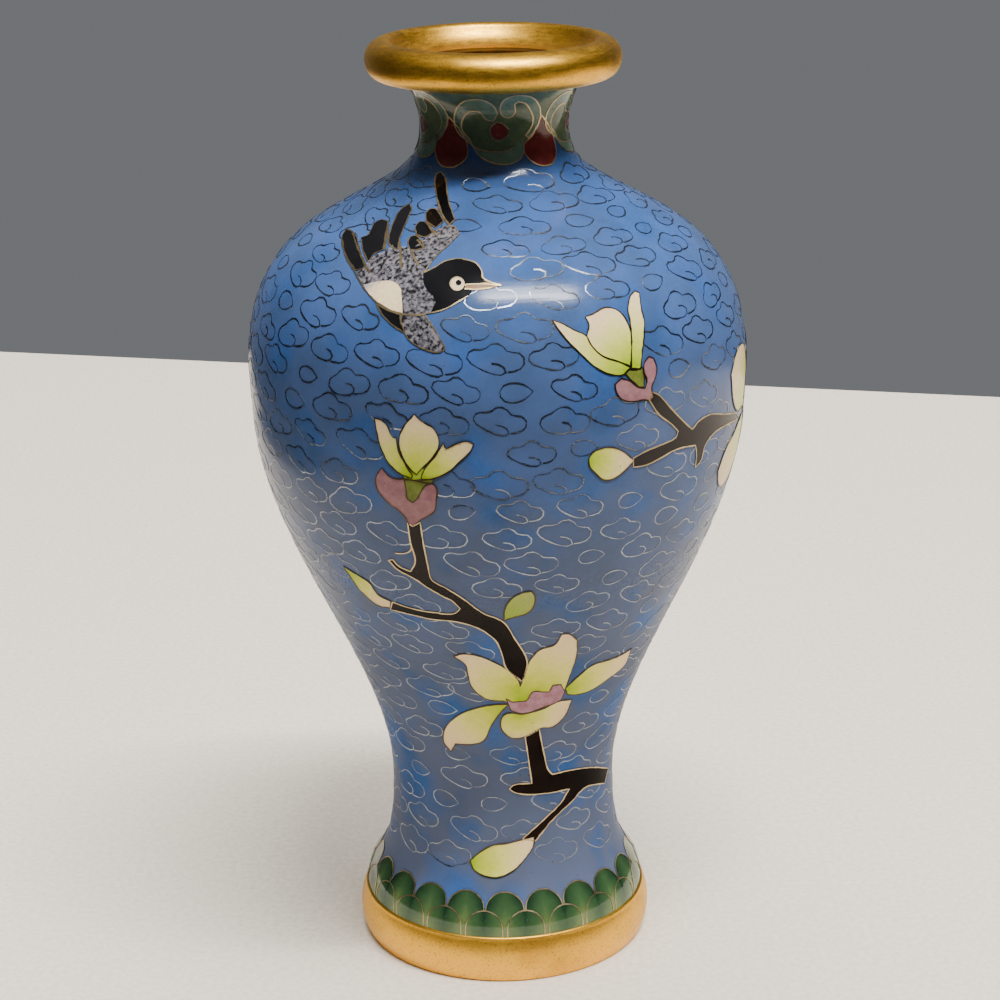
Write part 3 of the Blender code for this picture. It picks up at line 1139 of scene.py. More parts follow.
def turned(name, profile, zones, materials):
    """A mesh turned about the axis from a closed profile; the zones say each span's material."""
    rings = []
    points = []
    for radius, height in profile:
        start = len(points)
        if radius < NEARLY_NOTHING:
            points.append((0.0, 0.0, height))
            rings.append([start] * TURN_STEPS)
            continue
        for step in range(TURN_STEPS):
            angle = 2 * math.pi * step / TURN_STEPS
            points.append((radius * math.cos(angle), radius * math.sin(angle), height))
        rings.append(list(range(start, start + TURN_STEPS)))
    if profile[0][0] > NEARLY_NOTHING:
        rings.append(rings[0])
    faces = []
    places = []
    for span, (low, high) in enumerate(zip(rings, rings[1:])):
        for step in range(TURN_STEPS):
            after = (step + 1) % TURN_STEPS
            ring_face = (low[step], low[after], high[after], high[step])
            faces.append(list(dict.fromkeys(ring_face)))
            places.append(zones[span] if zones else 0)
    mesh = bpy.data.meshes.new(name)
    mesh.from_pydata(points, [], faces)
    for material in materials:
        mesh.materials.append(material)
    mesh.polygons.foreach_set("material_index", places)
    return mesh


def body_profile():
    """Closed run of the body's wall, and the material of each span: outside 0, inside 1."""
    side = [tuple(point) for point in SIDE]
    base_radius = FLARE_RADIUS + FOOT_RING_PROUD - FOOT_RING_WALL - JOINT_GAP
    bottom = FOOT_RING_HEIGHT - BASE_INTO_RING
    floor = bottom + BASE_THICKNESS
    inside = [(side[-1][0] - WALL, side[-1][1])]
    for place in range(len(side) - 1 - INSIDE_STRIDE, 0, -INSIDE_STRIDE):
        radius = side[place][0] - WALL * SLOPES[place][1]
        height = side[place][1] + WALL * SLOPES[place][0]
        if floor + WALL < height < side[-1][1]:
            inside.append((radius, height))
    corner = (base_radius - WALL - BASE_CORNER, floor + BASE_CORNER)
    inside += arc(corner, (BASE_CORNER, BASE_CORNER), 0, -90, BASE_CORNER_STEPS)
    outside = [(0.0, bottom), (base_radius, bottom), (base_radius, side[0][1])] + side
    profile = outside + inside + [(0.0, floor)]
    zones = [1] + [0] * (len(outside) - 1) + [1] * (len(inside) + 1)
    return profile, zones


def foot_profile():
    """Closed run of the foot ring, which here meets the body."""
    inner = FLARE_RADIUS + FOOT_RING_PROUD - FOOT_RING_WALL
    outer = FLARE_RADIUS + FOOT_RING_PROUD
    edge = FOOT_RING_EDGE
    top = FOOT_RING_HEIGHT + JOINT_GAP
    middle = top / 2
    side = []
    for step in range(RING_SIDE_STEPS + 1):
        share = 2 * step / RING_SIDE_STEPS - 1
        bulge = FOOT_RING_BULGE * (1 - share * share)
        side.append((outer + bulge, middle + share * (middle - edge)))
    bend = (edge, edge)
    low_edge = arc((outer - edge, edge), bend, -90, -RING_EDGE_END, RING_EDGE_STEPS)
    top_edge = arc((outer - edge, top - edge), bend, RING_EDGE_END, 90, RING_EDGE_STEPS)
    return [(inner, 0.0)] + low_edge + side + top_edge + [(inner, top)]


def rim_profile():
    """Closed run of the mouth rim, which meets the body's lip, and its spans: gilt 0, bore 1."""
    half = RIM_HEIGHT / 2
    bottom = SIDE[-1][1] + JOINT_GAP
    top = bottom + RIM_HEIGHT
    outer = LIP_RADIUS + RIM_OVERHANG
    bore = NECK_RADIUS - WALL + RIM_BORE_STEP
    under_centre = (outer - RIM_ROLL_UNDER, bottom + half)
    over_centre = (outer - RIM_ROLL_OUT, bottom + half)
    crest_centre = (over_centre[0], top - RIM_CREST_ROUND)
    under = arc(under_centre, (RIM_ROLL_UNDER, half), -90, 0, ROLL_STEPS)
    over = arc(over_centre, (RIM_ROLL_OUT, half), 0, 90, ROLL_STEPS)
    crest_radii = (RIM_CREST_ROUND, RIM_CREST_ROUND)
    crest = arc(crest_centre, crest_radii, 90, RIM_CREST_END, CREST_STEPS)
    dish_foot = (bore, bottom + RIM_BORE_HEIGHT)
    dish = curve(crest[-1], DISH_WALL_ANGLE, dish_foot, INWARD, DISH_EASE, DISH_STEPS)
    seat = [(bore, SIDE[-1][1]), (LIP_RADIUS, SIDE[-1][1]), (LIP_RADIUS + JOINT_GAP, bottom)]
    outside = under + over[1:] + crest[1:] + dish[:-BORE_SPANS]
    profile = seat + outside + dish[-BORE_SPANS:]
    zones = [1] * len(seat) + [0] * (len(outside) - 1) + [1] * (BORE_SPANS + 1)
    return profile, zones


class Plates:
    """Thin closed plates of enamel on the body, gathered into one mesh."""

    def __init__(self, name):
        self.mesh = bpy.data.meshes.new(name)
        self.points = []
        self.faces = []
        self.places = []
        self.shades = []

    def place_of(self, short):
        """The place of an enamel in the mesh's list of materials."""
        material = enamel_named(short)
        if material.name not in self.mesh.materials:
            self.mesh.materials.append(material)
        return self.mesh.materials.find(material.name)

    def lay(self, turns, runs, faces, shades, short, rise):
        """Add a plate: its flat faces proud of the body, and its walls and back under them."""
        start = len(self.points)
        count = len(turns)
        self.points += [tuple(p) for p in on_body(turns, runs, rise)]
        self.points += [tuple(p) for p in on_body(turns, runs, -PLATE_DEPTH)]
        self.shades += list(shades) * 2
        sides = {}
        for face in faces:
            for first, second in zip(face, face[1:] + face[:1]):
                sides[(first, second)] = True
        closed = [list(face) for face in faces]
        closed += [[point + count for point in reversed(face)] for face in faces]
        closed += [
            [second, first, first + count, second + count]
            for first, second in sides
            if (second, first) not in sides
        ]
        self.faces += [[point + start for point in face] for face in closed]
        self.places += [self.place_of(short)] * len(closed)

    def lay_cell(self, cell, rise):
        """Add a cell of the picture."""
        turns, runs = cell.outline
        radius = float(radius_at(np.mean(runs)))
        outline = [Vector((turn * radius, run)) for turn, run in zip(turns, runs)]
        low = np.min(outline, axis=0)
        high = np.max(outline, axis=0)
        grid = [
            Vector((x, y))
            for x in np.arange(low[0] + PLATE_GRID / 2, high[0], PLATE_GRID)
            for y in np.arange(low[1] + PLATE_GRID / 2, high[1], PLATE_GRID)
        ]
        ring = [list(range(len(outline)))]
        flat = delaunay_2d_cdt(outline + grid, [], ring, 1, NEARLY_NOTHING)
        used = sorted({point for face in flat[2] for point in face})
        number = {point: place for place, point in enumerate(used)}
        faces = [[number[point] for point in face] for face in flat[2]]
        x = np.array([flat[0][point][0] for point in used])
        y = np.array([flat[0][point][1] for point in used])
        shades = np.full(len(used), PLAIN_SHADE)
        if cell.root:
            away = np.hypot(x - cell.root[0][0] * radius, y - cell.root[1][0])
            shades = away / max(away.max(), NEARLY_NOTHING)
        self.lay(x / radius, y, faces, shades, cell.enamel, rise + cell.layer * LAYER_RISE)

    def lay_band(self, turns, lows, highs, rows, short, rise, shades=None):
        """Add a band round the body between two lines."""
        columns = len(turns)
        shares = np.repeat(np.linspace(0.0, 1.0, rows + 1), columns)
        runs = np.tile(lows, rows + 1) * (1 - shares) + np.tile(highs, rows + 1) * shares
        faces = []
        for row in range(rows):
            for column in range(columns):
                after = (column + 1) % columns
                low = row * columns
                faces.append(
                    [low + column, low + after, low + columns + after, low + columns + column]
                )
        if shades is None:
            shades = np.full(len(runs), PLAIN_SHADE)
        self.lay(np.tile(turns, rows + 1), runs, faces, shades, short, rise)

    def finished(self):
        """The mesh of all the plates."""
        self.mesh.from_pydata(self.points, [], self.faces)
        self.mesh.polygons.foreach_set("material_index", self.places)
        shade = self.mesh.attributes.new("shade", "FLOAT", "POINT")
        shade.data.foreach_set("value", self.shades)
        return self.mesh


def wire_tree(repeated):
    """Geometry nodes that bend flat lines round the body and sweep a wire along them.

    A line's points hold a turn and a run. Where the lines are repeated, the tree first sets a
    pattern's line at every given point, with that point's tilt and size.
    """
    tree = bpy.data.node_groups.new("inlaid wires", "GeometryNodeTree")
    for name, kind in (
        ("Lines", "NodeSocketGeometry"),
        ("Side", "NodeSocketObject"),
        ("Patterns", "NodeSocketCollection"),
        ("Wire Width", "NodeSocketFloat"),
        ("Wire Depth", "NodeSocketFloat"),
        ("Rise", "NodeSocketFloat"),
        ("Wear", "NodeSocketFloat"),
        ("Metal", "NodeSocketMaterial"),
    ):
        tree.interface.new_socket(name, in_out="INPUT", socket_type=kind)
    tree.interface.new_socket("Wires", in_out="OUTPUT", socket_type="NodeSocketGeometry")
    given = add(tree, "NodeGroupInput").outputs
    lines = given["Lines"]
    spot = add(tree, "GeometryNodeInputPosition")
    flat = add(tree, SPLIT, {0: spot}).outputs
    turn = flat["X"]
    run = flat["Y"]
    if repeated:
        carried_by = {
            name: add(tree, NUMBER, {"Name": name}, data_type="FLOAT")
            for name in ("turn", "run", "radius", "tilt", "size", "kind")
        }
        patterns = add(
            tree,
            "GeometryNodeCollectionInfo",
            {"Collection": given["Patterns"], "Separate Children": True, "Reset Children": True},
        )
        tilt = add(tree, JOIN, {"Z": carried_by["tilt"]})
        strewn = add(
            tree,
            "GeometryNodeInstanceOnPoints",
            {
                "Points": lines,
                "Instance": patterns,
                "Pick Instance": True,
                "Instance Index": carried_by["kind"],
                "Rotation": tilt,
                "Scale": carried_by["size"],
            },
        )
        lines = add(tree, "GeometryNodeRealizeInstances", {"Geometry": strewn})
        turn = add(tree, MATH, {0: turn, 1: carried_by["radius"]}, operation="DIVIDE")
        turn = add(tree, MATH, {0: turn, 1: carried_by["turn"]})
        run = add(tree, MATH, {0: run, 1: carried_by["run"]})
    line = add(tree, "GeometryNodeMeshToCurve", {"Mesh": lines})
    side = add(tree, "GeometryNodeObjectInfo", {"Object": given["Side"]}).outputs["Geometry"]
    sample = add(tree, "GeometryNodeSampleCurve", {"Curves": side, "Length": run}, mode="LENGTH")
    place = add(tree, SPLIT, {0: sample.outputs["Position"]}).outputs
    along = add(tree, SPLIT, {0: sample.outputs["Tangent"]}).outputs
    sine = add(tree, MATH, {0: turn}, operation="SINE")
    cosine = add(tree, MATH, {0: turn}, operation="COSINE")
    cosine = add(tree, MATH, {0: cosine, 1: -1.0}, operation="MULTIPLY")
    outward = along["Z"]
    upward = add(tree, MATH, {0: along["X"], 1: -1.0}, operation="MULTIPLY")
    facing_right = add(tree, MATH, {0: outward, 1: sine}, operation="MULTIPLY")
    facing_back = add(tree, MATH, {0: outward, 1: cosine}, operation="MULTIPLY")
    normal = add(tree, JOIN, {"X": facing_right, "Y": facing_back, "Z": upward})
    rise = given["Rise"]
    radius = add(tree, MATH, {0: outward, 1: rise, 2: place["X"]}, operation="MULTIPLY_ADD")
    height = add(tree, MATH, {0: upward, 1: rise, 2: place["Z"]}, operation="MULTIPLY_ADD")
    right = add(tree, MATH, {0: radius, 1: sine}, operation="MULTIPLY")
    back = add(tree, MATH, {0: radius, 1: cosine}, operation="MULTIPLY")
    target = add(tree, JOIN, {"X": right, "Y": back, "Z": height})
    kept = add(tree, "GeometryNodeCaptureAttribute", {"Geometry": line})
    kept.capture_items.new("VECTOR", "Facing")
    tree.links.new(normal.outputs[0], kept.inputs["Facing"])
    bent = add(tree, "GeometryNodeSetPosition", {"Geometry": kept, "Position": target})
    facing = add(
        tree,
        "GeometryNodeSetCurveNormal",
        {"Curve": bent, "Normal": kept.outputs["Facing"]},
        mode="FREE",
    )
    section = add(
        tree, "GeometryNodeCurvePrimitiveCircle", {"Resolution": WIRE_SIDES}, mode="RADIUS"
    )
    shaped = add(
        tree,
        "GeometryNodeTransform",
        {
            "Geometry": section,
            "Translation": (FLAT_SIDE_BACK, 0.0, 0.0),
            "Rotation": (0.0, 0.0, math.pi),
        },
    )
    deep = add(tree, MATH, {0: given["Wire Depth"], 1: TRIANGLE_DEPTH}, operation="DIVIDE")
    wide = add(tree, MATH, {0: given["Wire Width"], 1: TRIANGLE_SIDE}, operation="DIVIDE")
    fitted = add(tree, JOIN, {"X": deep, "Y": wide, "Z": 1.0})
    sized = add(tree, "GeometryNodeTransform", {"Geometry": shaped, "Scale": fitted})
    thick = add(tree, NUMBER, {"Name": "thick"}, data_type="FLOAT")
    uneven = add(tree, NOISE, {"Vector": spot, "Scale": 1.0 / WEAR_LENGTH, "Detail": 1.0})
    low, high = WEAR_SPREAD
    uneven = add(tree, RANGE, {"Value": uneven, "From Min": low, "From Max": high})
    ground = add(tree, MATH, {0: uneven, 1: given["Wear"]}, operation="MULTIPLY")
    ground = add(tree, MATH, {0: 1.0, 1: ground}, operation="SUBTRACT")
    thick = add(tree, MATH, {0: thick, 1: ground}, operation="MULTIPLY")
    swept = add(
        tree,
        "GeometryNodeCurveToMesh",
        {"Curve": facing, "Profile Curve": sized, "Scale": thick, "Fill Caps": True},
    )
    real = add(tree, "GeometryNodeRealizeInstances", {"Geometry": swept})
    metal = add(tree, "GeometryNodeSetMaterial", {"Geometry": real, "Material": given["Metal"]})
    add(tree, "NodeGroupOutput", {"Wires": metal})
    return tree


def wire_metal(piece):
    """The metal of a piece of wires, which is made when it is first asked for."""
    name, colour, tarnish, gloss = WIRE_METALS.get(piece, GILDED_WIRE)
    colour = getattr(bpy.context.scene.vase_colours, colour)
    return bpy.data.materials.get(name) or gilding(name, colour, linear(tarnish), gloss)


def side_curve():
    """The body's side as a curve for the wire tree to follow."""
    curve_data = bpy.data.curves.new("side of the body", "CURVE")
    curve_data.dimensions = "3D"
    spline = curve_data.splines.new("POLY")
    spline.points.add(len(SIDE) - 1)
    for point, (radius, height) in zip(spline.points, SIDE):
        point.co = (radius, 0.0, height, 1.0)
    return placed("side of the body", curve_data)


def flat_lines(name, points, edges, numbers):
    """A helper object of loose points and edges whose points carry numbers."""
    mesh = bpy.data.meshes.new(name)
    mesh.from_pydata(points, edges, [])
    for key, values in numbers.items():
        whole = key == "kind"
        attribute = mesh.attributes.new(key, "INT" if whole else "FLOAT", "POINT")
        attribute.data.foreach_set("value", values)
    return placed(name, mesh)


def wires_from(name, helper, rise, width, patterns=None):
    """Make a finished piece of wires, swept by the wire tree over a helper's lines or points."""
    sizes = bpy.context.scene.vase_sizes
    side = side_curve()
    tree = wire_tree(patterns is not None)
    modifier = helper.modifiers.new("inlaid wires", "NODES")
    modifier.node_group = tree
    values = {
        "Side": side,
        "Wire Width": width,
        "Wire Depth": sizes.wire_depth,
        "Rise": rise,
        "Wear": WIRE_WEAR[name],
        "Metal": wire_metal(name),
    }
    if patterns is not None:
        values["Patterns"] = patterns
    for socket in tree.interface.items_tree:
        if socket.in_out == "INPUT" and socket.name in values:
            modifier[socket.identifier] = values[socket.name]
    bpy.context.view_layer.update()
    ready = helper.evaluated_get(bpy.context.evaluated_depsgraph_get())
    mesh = bpy.data.meshes.new_from_object(ready)
    mesh.name = name
    helper.modifiers.clear()
    for spare in (helper, side):
        bpy.data.objects.remove(spare)
    if not mesh.polygons:
        raise RuntimeError(f"{name}: the wire tree made nothing")
    shown(name, mesh, "gilt_rim")


def wires_along(name, wires):
    """Make a finished piece of wires along drawn lines."""
    points = []
    edges = []
    thick = []
    for wire in wires:
        start = len(points)
        turns, runs = wire.line
        points += [(float(turn), float(run), 0.0) for turn, run in zip(turns, runs)]
        count = len(turns)
        edges += [(start + place, start + place + 1) for place in range(count - 1)]
        if wire.closed:
            edges.append((start + count - 1, start))
        thick += [wire.thick] * count
    helper = flat_lines(name, points, edges, {"thick": thick})
    sizes = bpy.context.scene.vase_sizes
    wires_from(name, helper, sizes.wire_rise, sizes.wire_width)


def pattern(name, line, points, length, collection):
    """Put a repeated line, evenly divided, in its collection as a helper object."""
    fine = smooth(line, False, NEARLY_EVEN_STEP)
    gone = np.concatenate(([0.0], np.cumsum([(b - a).length for a, b in zip(fine, fine[1:])])))
    even = np.linspace(0.0, gone[-1], points)
    across = np.interp(even, gone, [p.x for p in fine]) * length
    upward = np.interp(even, gone, [p.y for p in fine]) * length
    mesh = bpy.data.meshes.new(name)
    mesh.from_pydata(
        [(x, y, 0.0) for x, y in zip(across, upward)],
        [(place, place + 1) for place in range(points - 1)],
        [],
    )
    collection.objects.link(bpy.data.objects.new(name, mesh))


def repeated_wires(name, lines, spots, rise, width, length):
    """Make a finished piece of wires from patterns repeated at spots."""
    collection = bpy.data.collections.new(f"{name} patterns")
    bpy.context.scene.collection.children.link(collection)
    for key, (line, points) in sorted(lines.items()):
        pattern(key, line, points, length, collection)
    numbers = {key: [spot[key] for spot in spots] for key in spots[0]}
    helper = flat_lines(name, [(0.0, 0.0, 0.0)] * len(spots), [], numbers)
    wires_from(name, helper, rise, width, collection)
    for spare in list(collection.objects):
        bpy.data.objects.remove(spare)
    bpy.data.collections.remove(collection)


def spot_at(turn, run, kind, tilt=0.0, size=1.0, thick=1.0):
    """The numbers of one place where a pattern of wires is repeated."""
    return {
        "turn": turn,
        "run": run,
        "radius": float(radius_at(run)),
        "tilt": tilt,
        "size": size,
        "thick": thick,
        "kind": kind,
    }


def within(turn, run, outline):
    """Whether a place of the body lies in an outline."""
    turns, runs = outline
    after_turns = np.roll(turns, -1)
    after_runs = np.roll(runs, -1)
    crossed = (runs > run) != (after_runs > run)
    rises = np.where(crossed, after_runs - runs, 1.0)
    meets = turns + (run - runs) * (after_turns - turns) / rises
    return np.count_nonzero(crossed & (turn < meets)) % 2 == 1


# The flower at the vase's right edge, in degrees of turn and millimetres of run
SIDE_FLOWER = Motif(
    cells=(
        Cell("petal", [
            (79.5, 59.9), (76, 60.2), (70.8, 60.4), (66.5, 62.4), (64.8, 65), (68.2, 66.6),
            (74, 67.2), (78.5, 66.2), (80.8, 63.5),
        ], root=(79.8, 60)),
        Cell("petal", [
            (79, 59), (74, 59), (69.7, 58.2), (63.5, 56.6), (61.6, 54.9), (64, 53.2),
            (68.4, 52.3), (74, 53), (78, 55.5), (80.2, 58),
        ], root=(79.6, 58.8)),
        Cell("petal", [
            (81, 60.4), (82, 63.5), (86, 66.2), (91, 66.6), (94, 64), (91, 61.4), (86, 60.2),
        ], root=(81, 60)),
        Cell("petal", [
            (81.4, 58.6), (87, 58.6), (93, 57.5), (97, 55), (94, 52.8), (88, 53.2), (83, 55.6),
        ], root=(81, 59)),
        Cell("stamen", [
            (78.4, 59.6), (80.4, 61), (83, 60.6), (85, 61), (87, 59.6), (84.6, 58.4), (81, 58.2),
        ], layer=1),
    ),
)
# The step of its lines, in those degrees and millimetres
UNROLLED_STEP = 0.7

FRONT_MOTIFS = {
    "bird": BIRD,
    "left_flower": LEFT_FLOWER,
    "main_branch": MAIN_BRANCH,
    "right_flower": RIGHT_FLOWER,
    "right_branch": RIGHT_BRANCH,
    "open_flower": OPEN_FLOWER,
    "lower_branch": LOWER_BRANCH,
}

# The open flower's middle, in pixels, and where its copy lies on the back
OPEN_FLOWER_MIDDLE = (522, 700)
BACK_FLOWER = (math.radians(176.0), 58.0 * MM)


def picture_parts():
    """Every motif of the picture as drawn on the body, by the piece's name."""
    parts = {name: drawn(motif) for name, motif in FRONT_MOTIFS.items()}
    middle = [float(v[0]) for v in cast([OPEN_FLOWER_MIDDLE])]
    parts["side_flower"] = drawn(SIDE_FLOWER, unrolled, UNROLLED_STEP)
    parts["back_flower"] = carried(parts["open_flower"], middle, BACK_FLOWER, mirrored=True)
    parts["back_branch"] = carried(parts["lower_branch"], middle, BACK_FLOWER, mirrored=True)
    return parts


class VASE_OT_body(bpy.types.Operator):
    """Make the enamelled body, turquoise inside and blue outside"""

    bl_idname = "vase.body"
    bl_label = "Enamelled Body"

    def execute(self, context):
        colours = context.scene.vase_colours
        # Blue glass enamel on copper: a bright glossy ground that clouds to a deeper blue, and
        # lower down a painted reflection of the pale floor greys it in patches
        outside = enamel("blue ground enamel", (colours.blue, colours.deep_blue), reflection_painted=True)
        # Counter enamel: the plain coat that keeps the copper from bending in the fire
        inside = enamel("counter enamel", (colours.inside, linear("#2F7C9C")))
        profile, zones = body_profile()
        mesh = turned("enamel_body", profile, zones, (outside, inside))
        shown("enamel_body", mesh, "enamel", "vase_body")
        return {"FINISHED"}


class VASE_OT_rims(bpy.types.Operator):
    """Make the gilt mouth rim and foot ring"""

    bl_idname = "vase.rims"
    bl_label = "Gilt Rim and Foot Ring"

    def execute(self, context):
        # Gilded copper, satin from brushing: warm soft reflections, with specks and darker tarnish
        colour = context.scene.vase_colours.gilt
        gilt = gilding("gilded copper", colour, linear("#A8742A"), GILT_GLOSS)
        # Gilding in the bore, darkened with painted shade of the recess
        dark = gilding("bore gilding with painted shade", linear("#6A4A1E"), linear("#3A2812"), BORE_GLOSS)
        profile, zones = rim_profile()
        rim = turned("gilt_mouth_rim", profile, zones, (gilt, dark))
        shown("gilt_mouth_rim", rim, "gilt_rim", "mouth_rim")
        foot = turned("gilt_foot_ring", foot_profile(), None, (gilt,))
        shown("gilt_foot_ring", foot, "gilt_foot", "foot_ring")
        return {"FINISHED"}


class VASE_OT_picture(bpy.types.Operator):
    """Lay the enamel cells of the bird, the flowers and the branches, with their wires"""

    bl_idname = "vase.picture"
    bl_label = "Bird and Flowers"

    def execute(self, context):
        rise = context.scene.vase_sizes.cell_rise
        wires = []
        for name, motif in picture_parts().items():
            plates = Plates(name)
            for cell in motif.cells:
                plates.lay_cell(cell, rise)
            shown(f"enamel_{name}", plates.finished(), "enamel")
            wires += motif.wires
        wires_along("picture_wires", [wire for wire in wires if not wire.dull])
        wires_along("petal_wires", [wire for wire in wires if wire.dull])
        return {"FINISHED"}


class VASE_OT_neck(bpy.types.Operator):
    """Lay the neck's green ground, its scroll-headed lappets and the red lobes between them"""

    bl_idname = "vase.neck"
    bl_label = "Neck Lappets"

    def execute(self, context):
        rise = context.scene.vase_sizes.cell_rise
        lowest = float(cast([NECK_GREEN_PIXEL])[1][0])
        turns = np.linspace(0.0, 2 * math.pi, TURN_STEPS, endpoint=False)
        plates = Plates("enamel_neck")
        plates.lay_band(
            turns,
            np.full(TURN_STEPS, lowest),
            np.full(TURN_STEPS, RUNS[-1]),
            NECK_ROWS,
            "neck",
            rise + NECK_GROUND_LAYER * LAYER_RISE,
        )
        lappet = drawn(LAPPET)
        wires = []
        for place in range(LAPPETS_AROUND):
            step = 2 * math.pi * place / LAPPETS_AROUND
            copy = carried(lappet, (0.0, lowest), (step, lowest))
            for cell in copy.cells:
                plates.lay_cell(cell, rise)
            wires += copy.wires
        shown("enamel_neck", plates.finished(), "enamel")
        wires_along("neck_wires", wires)
        return {"FINISHED"}


class VASE_OT_scales(bpy.types.Operator):
    """Lay the border of green scales above the foot ring"""

    bl_idname = "vase.scales"
    bl_label = "Scale Border"

    def execute(self, context):
        sizes = context.scene.vase_sizes
        pitch = 2 * math.pi / SCALES_AROUND
        columns = SCALES_AROUND * SCALE_COLUMNS
        turns = np.linspace(0.0, 2 * math.pi, columns, endpoint=False)
        off = (turns / pitch + 0.5) % 1.0 - 0.5
        arch = np.sqrt(np.clip(1.0 - (2.0 * off) ** 2, 0.0, 1.0))
        highs = SCALE_ROW_TOPS[1] - SCALE_HALF_WIDTH * (1.0 - arch)
        plates = Plates("enamel_scales")
        shares = np.repeat(np.linspace(0.0, 1.0, SCALE_ROWS + 1), columns)
        sideways = np.tile(np.abs(off), SCALE_ROWS + 1) * SCALE_SHADE_SIDEWAYS
        shades = np.clip(shares * SCALE_SHADE_UPWARD + sideways, 0.0, 1.0)
        plates.lay_band(
            turns, np.zeros(columns), highs, SCALE_ROWS, "scale", sizes.cell_rise, shades
        )
        shown("enamel_scales", plates.finished(), "enamel")
        half = SCALE_HALF_WIDTH
        spots = []
        lines = {}
        for row, top in enumerate(SCALE_ROW_TOPS):
            foot = -top if row == 0 else SCALE_ROW_TOPS[0] - top
            over = arc((0.0, -half), (half, half), 180, 0, SCALE_ARC_STEPS)
            lines[f"scale_{row}"] = ([(-half, foot)] + over + [(half, foot)], SCALE_POINTS)
            for place in range(SCALES_AROUND):
                spots.append(spot_at((place + 0.5 * (row == 0)) * pitch, top, row))
        repeated_wires("scale_wires", lines, spots, sizes.wire_rise, sizes.wire_width, 1.0)
        return {"FINISHED"}


class VASE_OT_clouds(bpy.types.Operator):
    """Strew the wire clouds over the blue ground"""

    bl_idname = "vase.clouds"
    bl_label = "Cloud Wires"

    def execute(self, context):
        sizes = context.scene.vase_sizes
        chance = random.Random(sizes.cloud_seed)
        cells = [cell for motif in picture_parts().values() for cell in motif.cells]
        spots = []
        rows = int((HIGHEST_CLOUDS - LOWEST_CLOUDS) / sizes.cloud_rows)
        for row in range(rows):
            middle = LOWEST_CLOUDS + (row + 0.5) * sizes.cloud_rows
            radius = float(radius_at(middle))
            count = max(FEWEST_CLOUDS, round(2 * math.pi * radius / sizes.cloud_pitch))
            start = 0.5 * (row % 2) + chance.uniform(-CLOUD_ROW_JITTER, CLOUD_ROW_JITTER)
            for place in range(count):
                aside = chance.uniform(-CLOUD_JITTER, CLOUD_JITTER)
                turn = 2 * math.pi * (place + start + aside) / count
                turn = (turn + math.pi) % (2 * math.pi) - math.pi
                run = middle + chance.uniform(-CLOUD_JITTER, CLOUD_JITTER) * sizes.cloud_rows
                kind = chance.choices(CLOUD_KINDS, CLOUD_WEIGHTS)[0]
                if any(within(turn, run, cell.outline) for cell in cells):
                    continue
                tilt = chance.uniform(-CLOUD_TILT, CLOUD_TILT)
                size = chance.uniform(*CLOUD_SCALES)
                thick = float(np.interp(run, THINNING_RUNS, THINNING))
                spots.append(spot_at(turn, run, kind, tilt, size, thick))
        lines = {
            key: (line, SMALL_CLOUD_POINTS if key.endswith("c") else CLOUD_POINTS)
            for key, line in CLOUD_LINES.items()
        }
        repeated_wires(
            "cloud_wires",
            lines,
            spots,
            sizes.cloud_wire_rise,
            sizes.cloud_wire_width,
            sizes.cloud_length,
        )
        return {"FINISHED"}


# The stage: the floor's corners, the light in front as strips with their places across it, widths
# and powers, the light overhead and the light of the room
FLOOR_CORNERS = ((-0.13, -0.105), (0.7, -0.105), (0.7, 0.077), (-0.13, 0.2605))
KEY_AIM = Vector((3 * MM, -22 * MM, 79 * MM))
KEY_WAY = Vector((0.19, -0.262, 0.946))
KEY_LENGTHWISE = Vector((0.552, 0.101, -0.086))
KEY_AWAY = 1.0
KEY_LENGTH = 0.6
KEY_STRIPS = (("soft strip", 0.01, 0.16, 7.0), ("bright strip", -0.07, 0.05, 10.0))
CEILING_PLACE = Vector((0.1, 0.35, 1.3))
CEILING_SIZE = 1.6
CEILING_POWER = 21.0
ROOM_DARK = "#3A3B3E"
ROOM_WALL = "#707275"
ROOM_HIGH = "#807E7C"
ROOM_STRENGTH = 1.0
ROOM_WALL_SPREAD = (0.6, 0.85)
ROOM_HIGH_SPREAD = (0.35, 0.85)
PAPER_GRAIN = 0.7 * MM
PAPER_SPREAD = (0.35, 0.65)
PAPER_TONES = ("#EFE2CE", "#FCF1DF")
PAPER_BUMP = (0.5, 0.2 * MM)
PAPER_ROUGHNESS = 0.85
NEAREST_SHOWN = 0.01


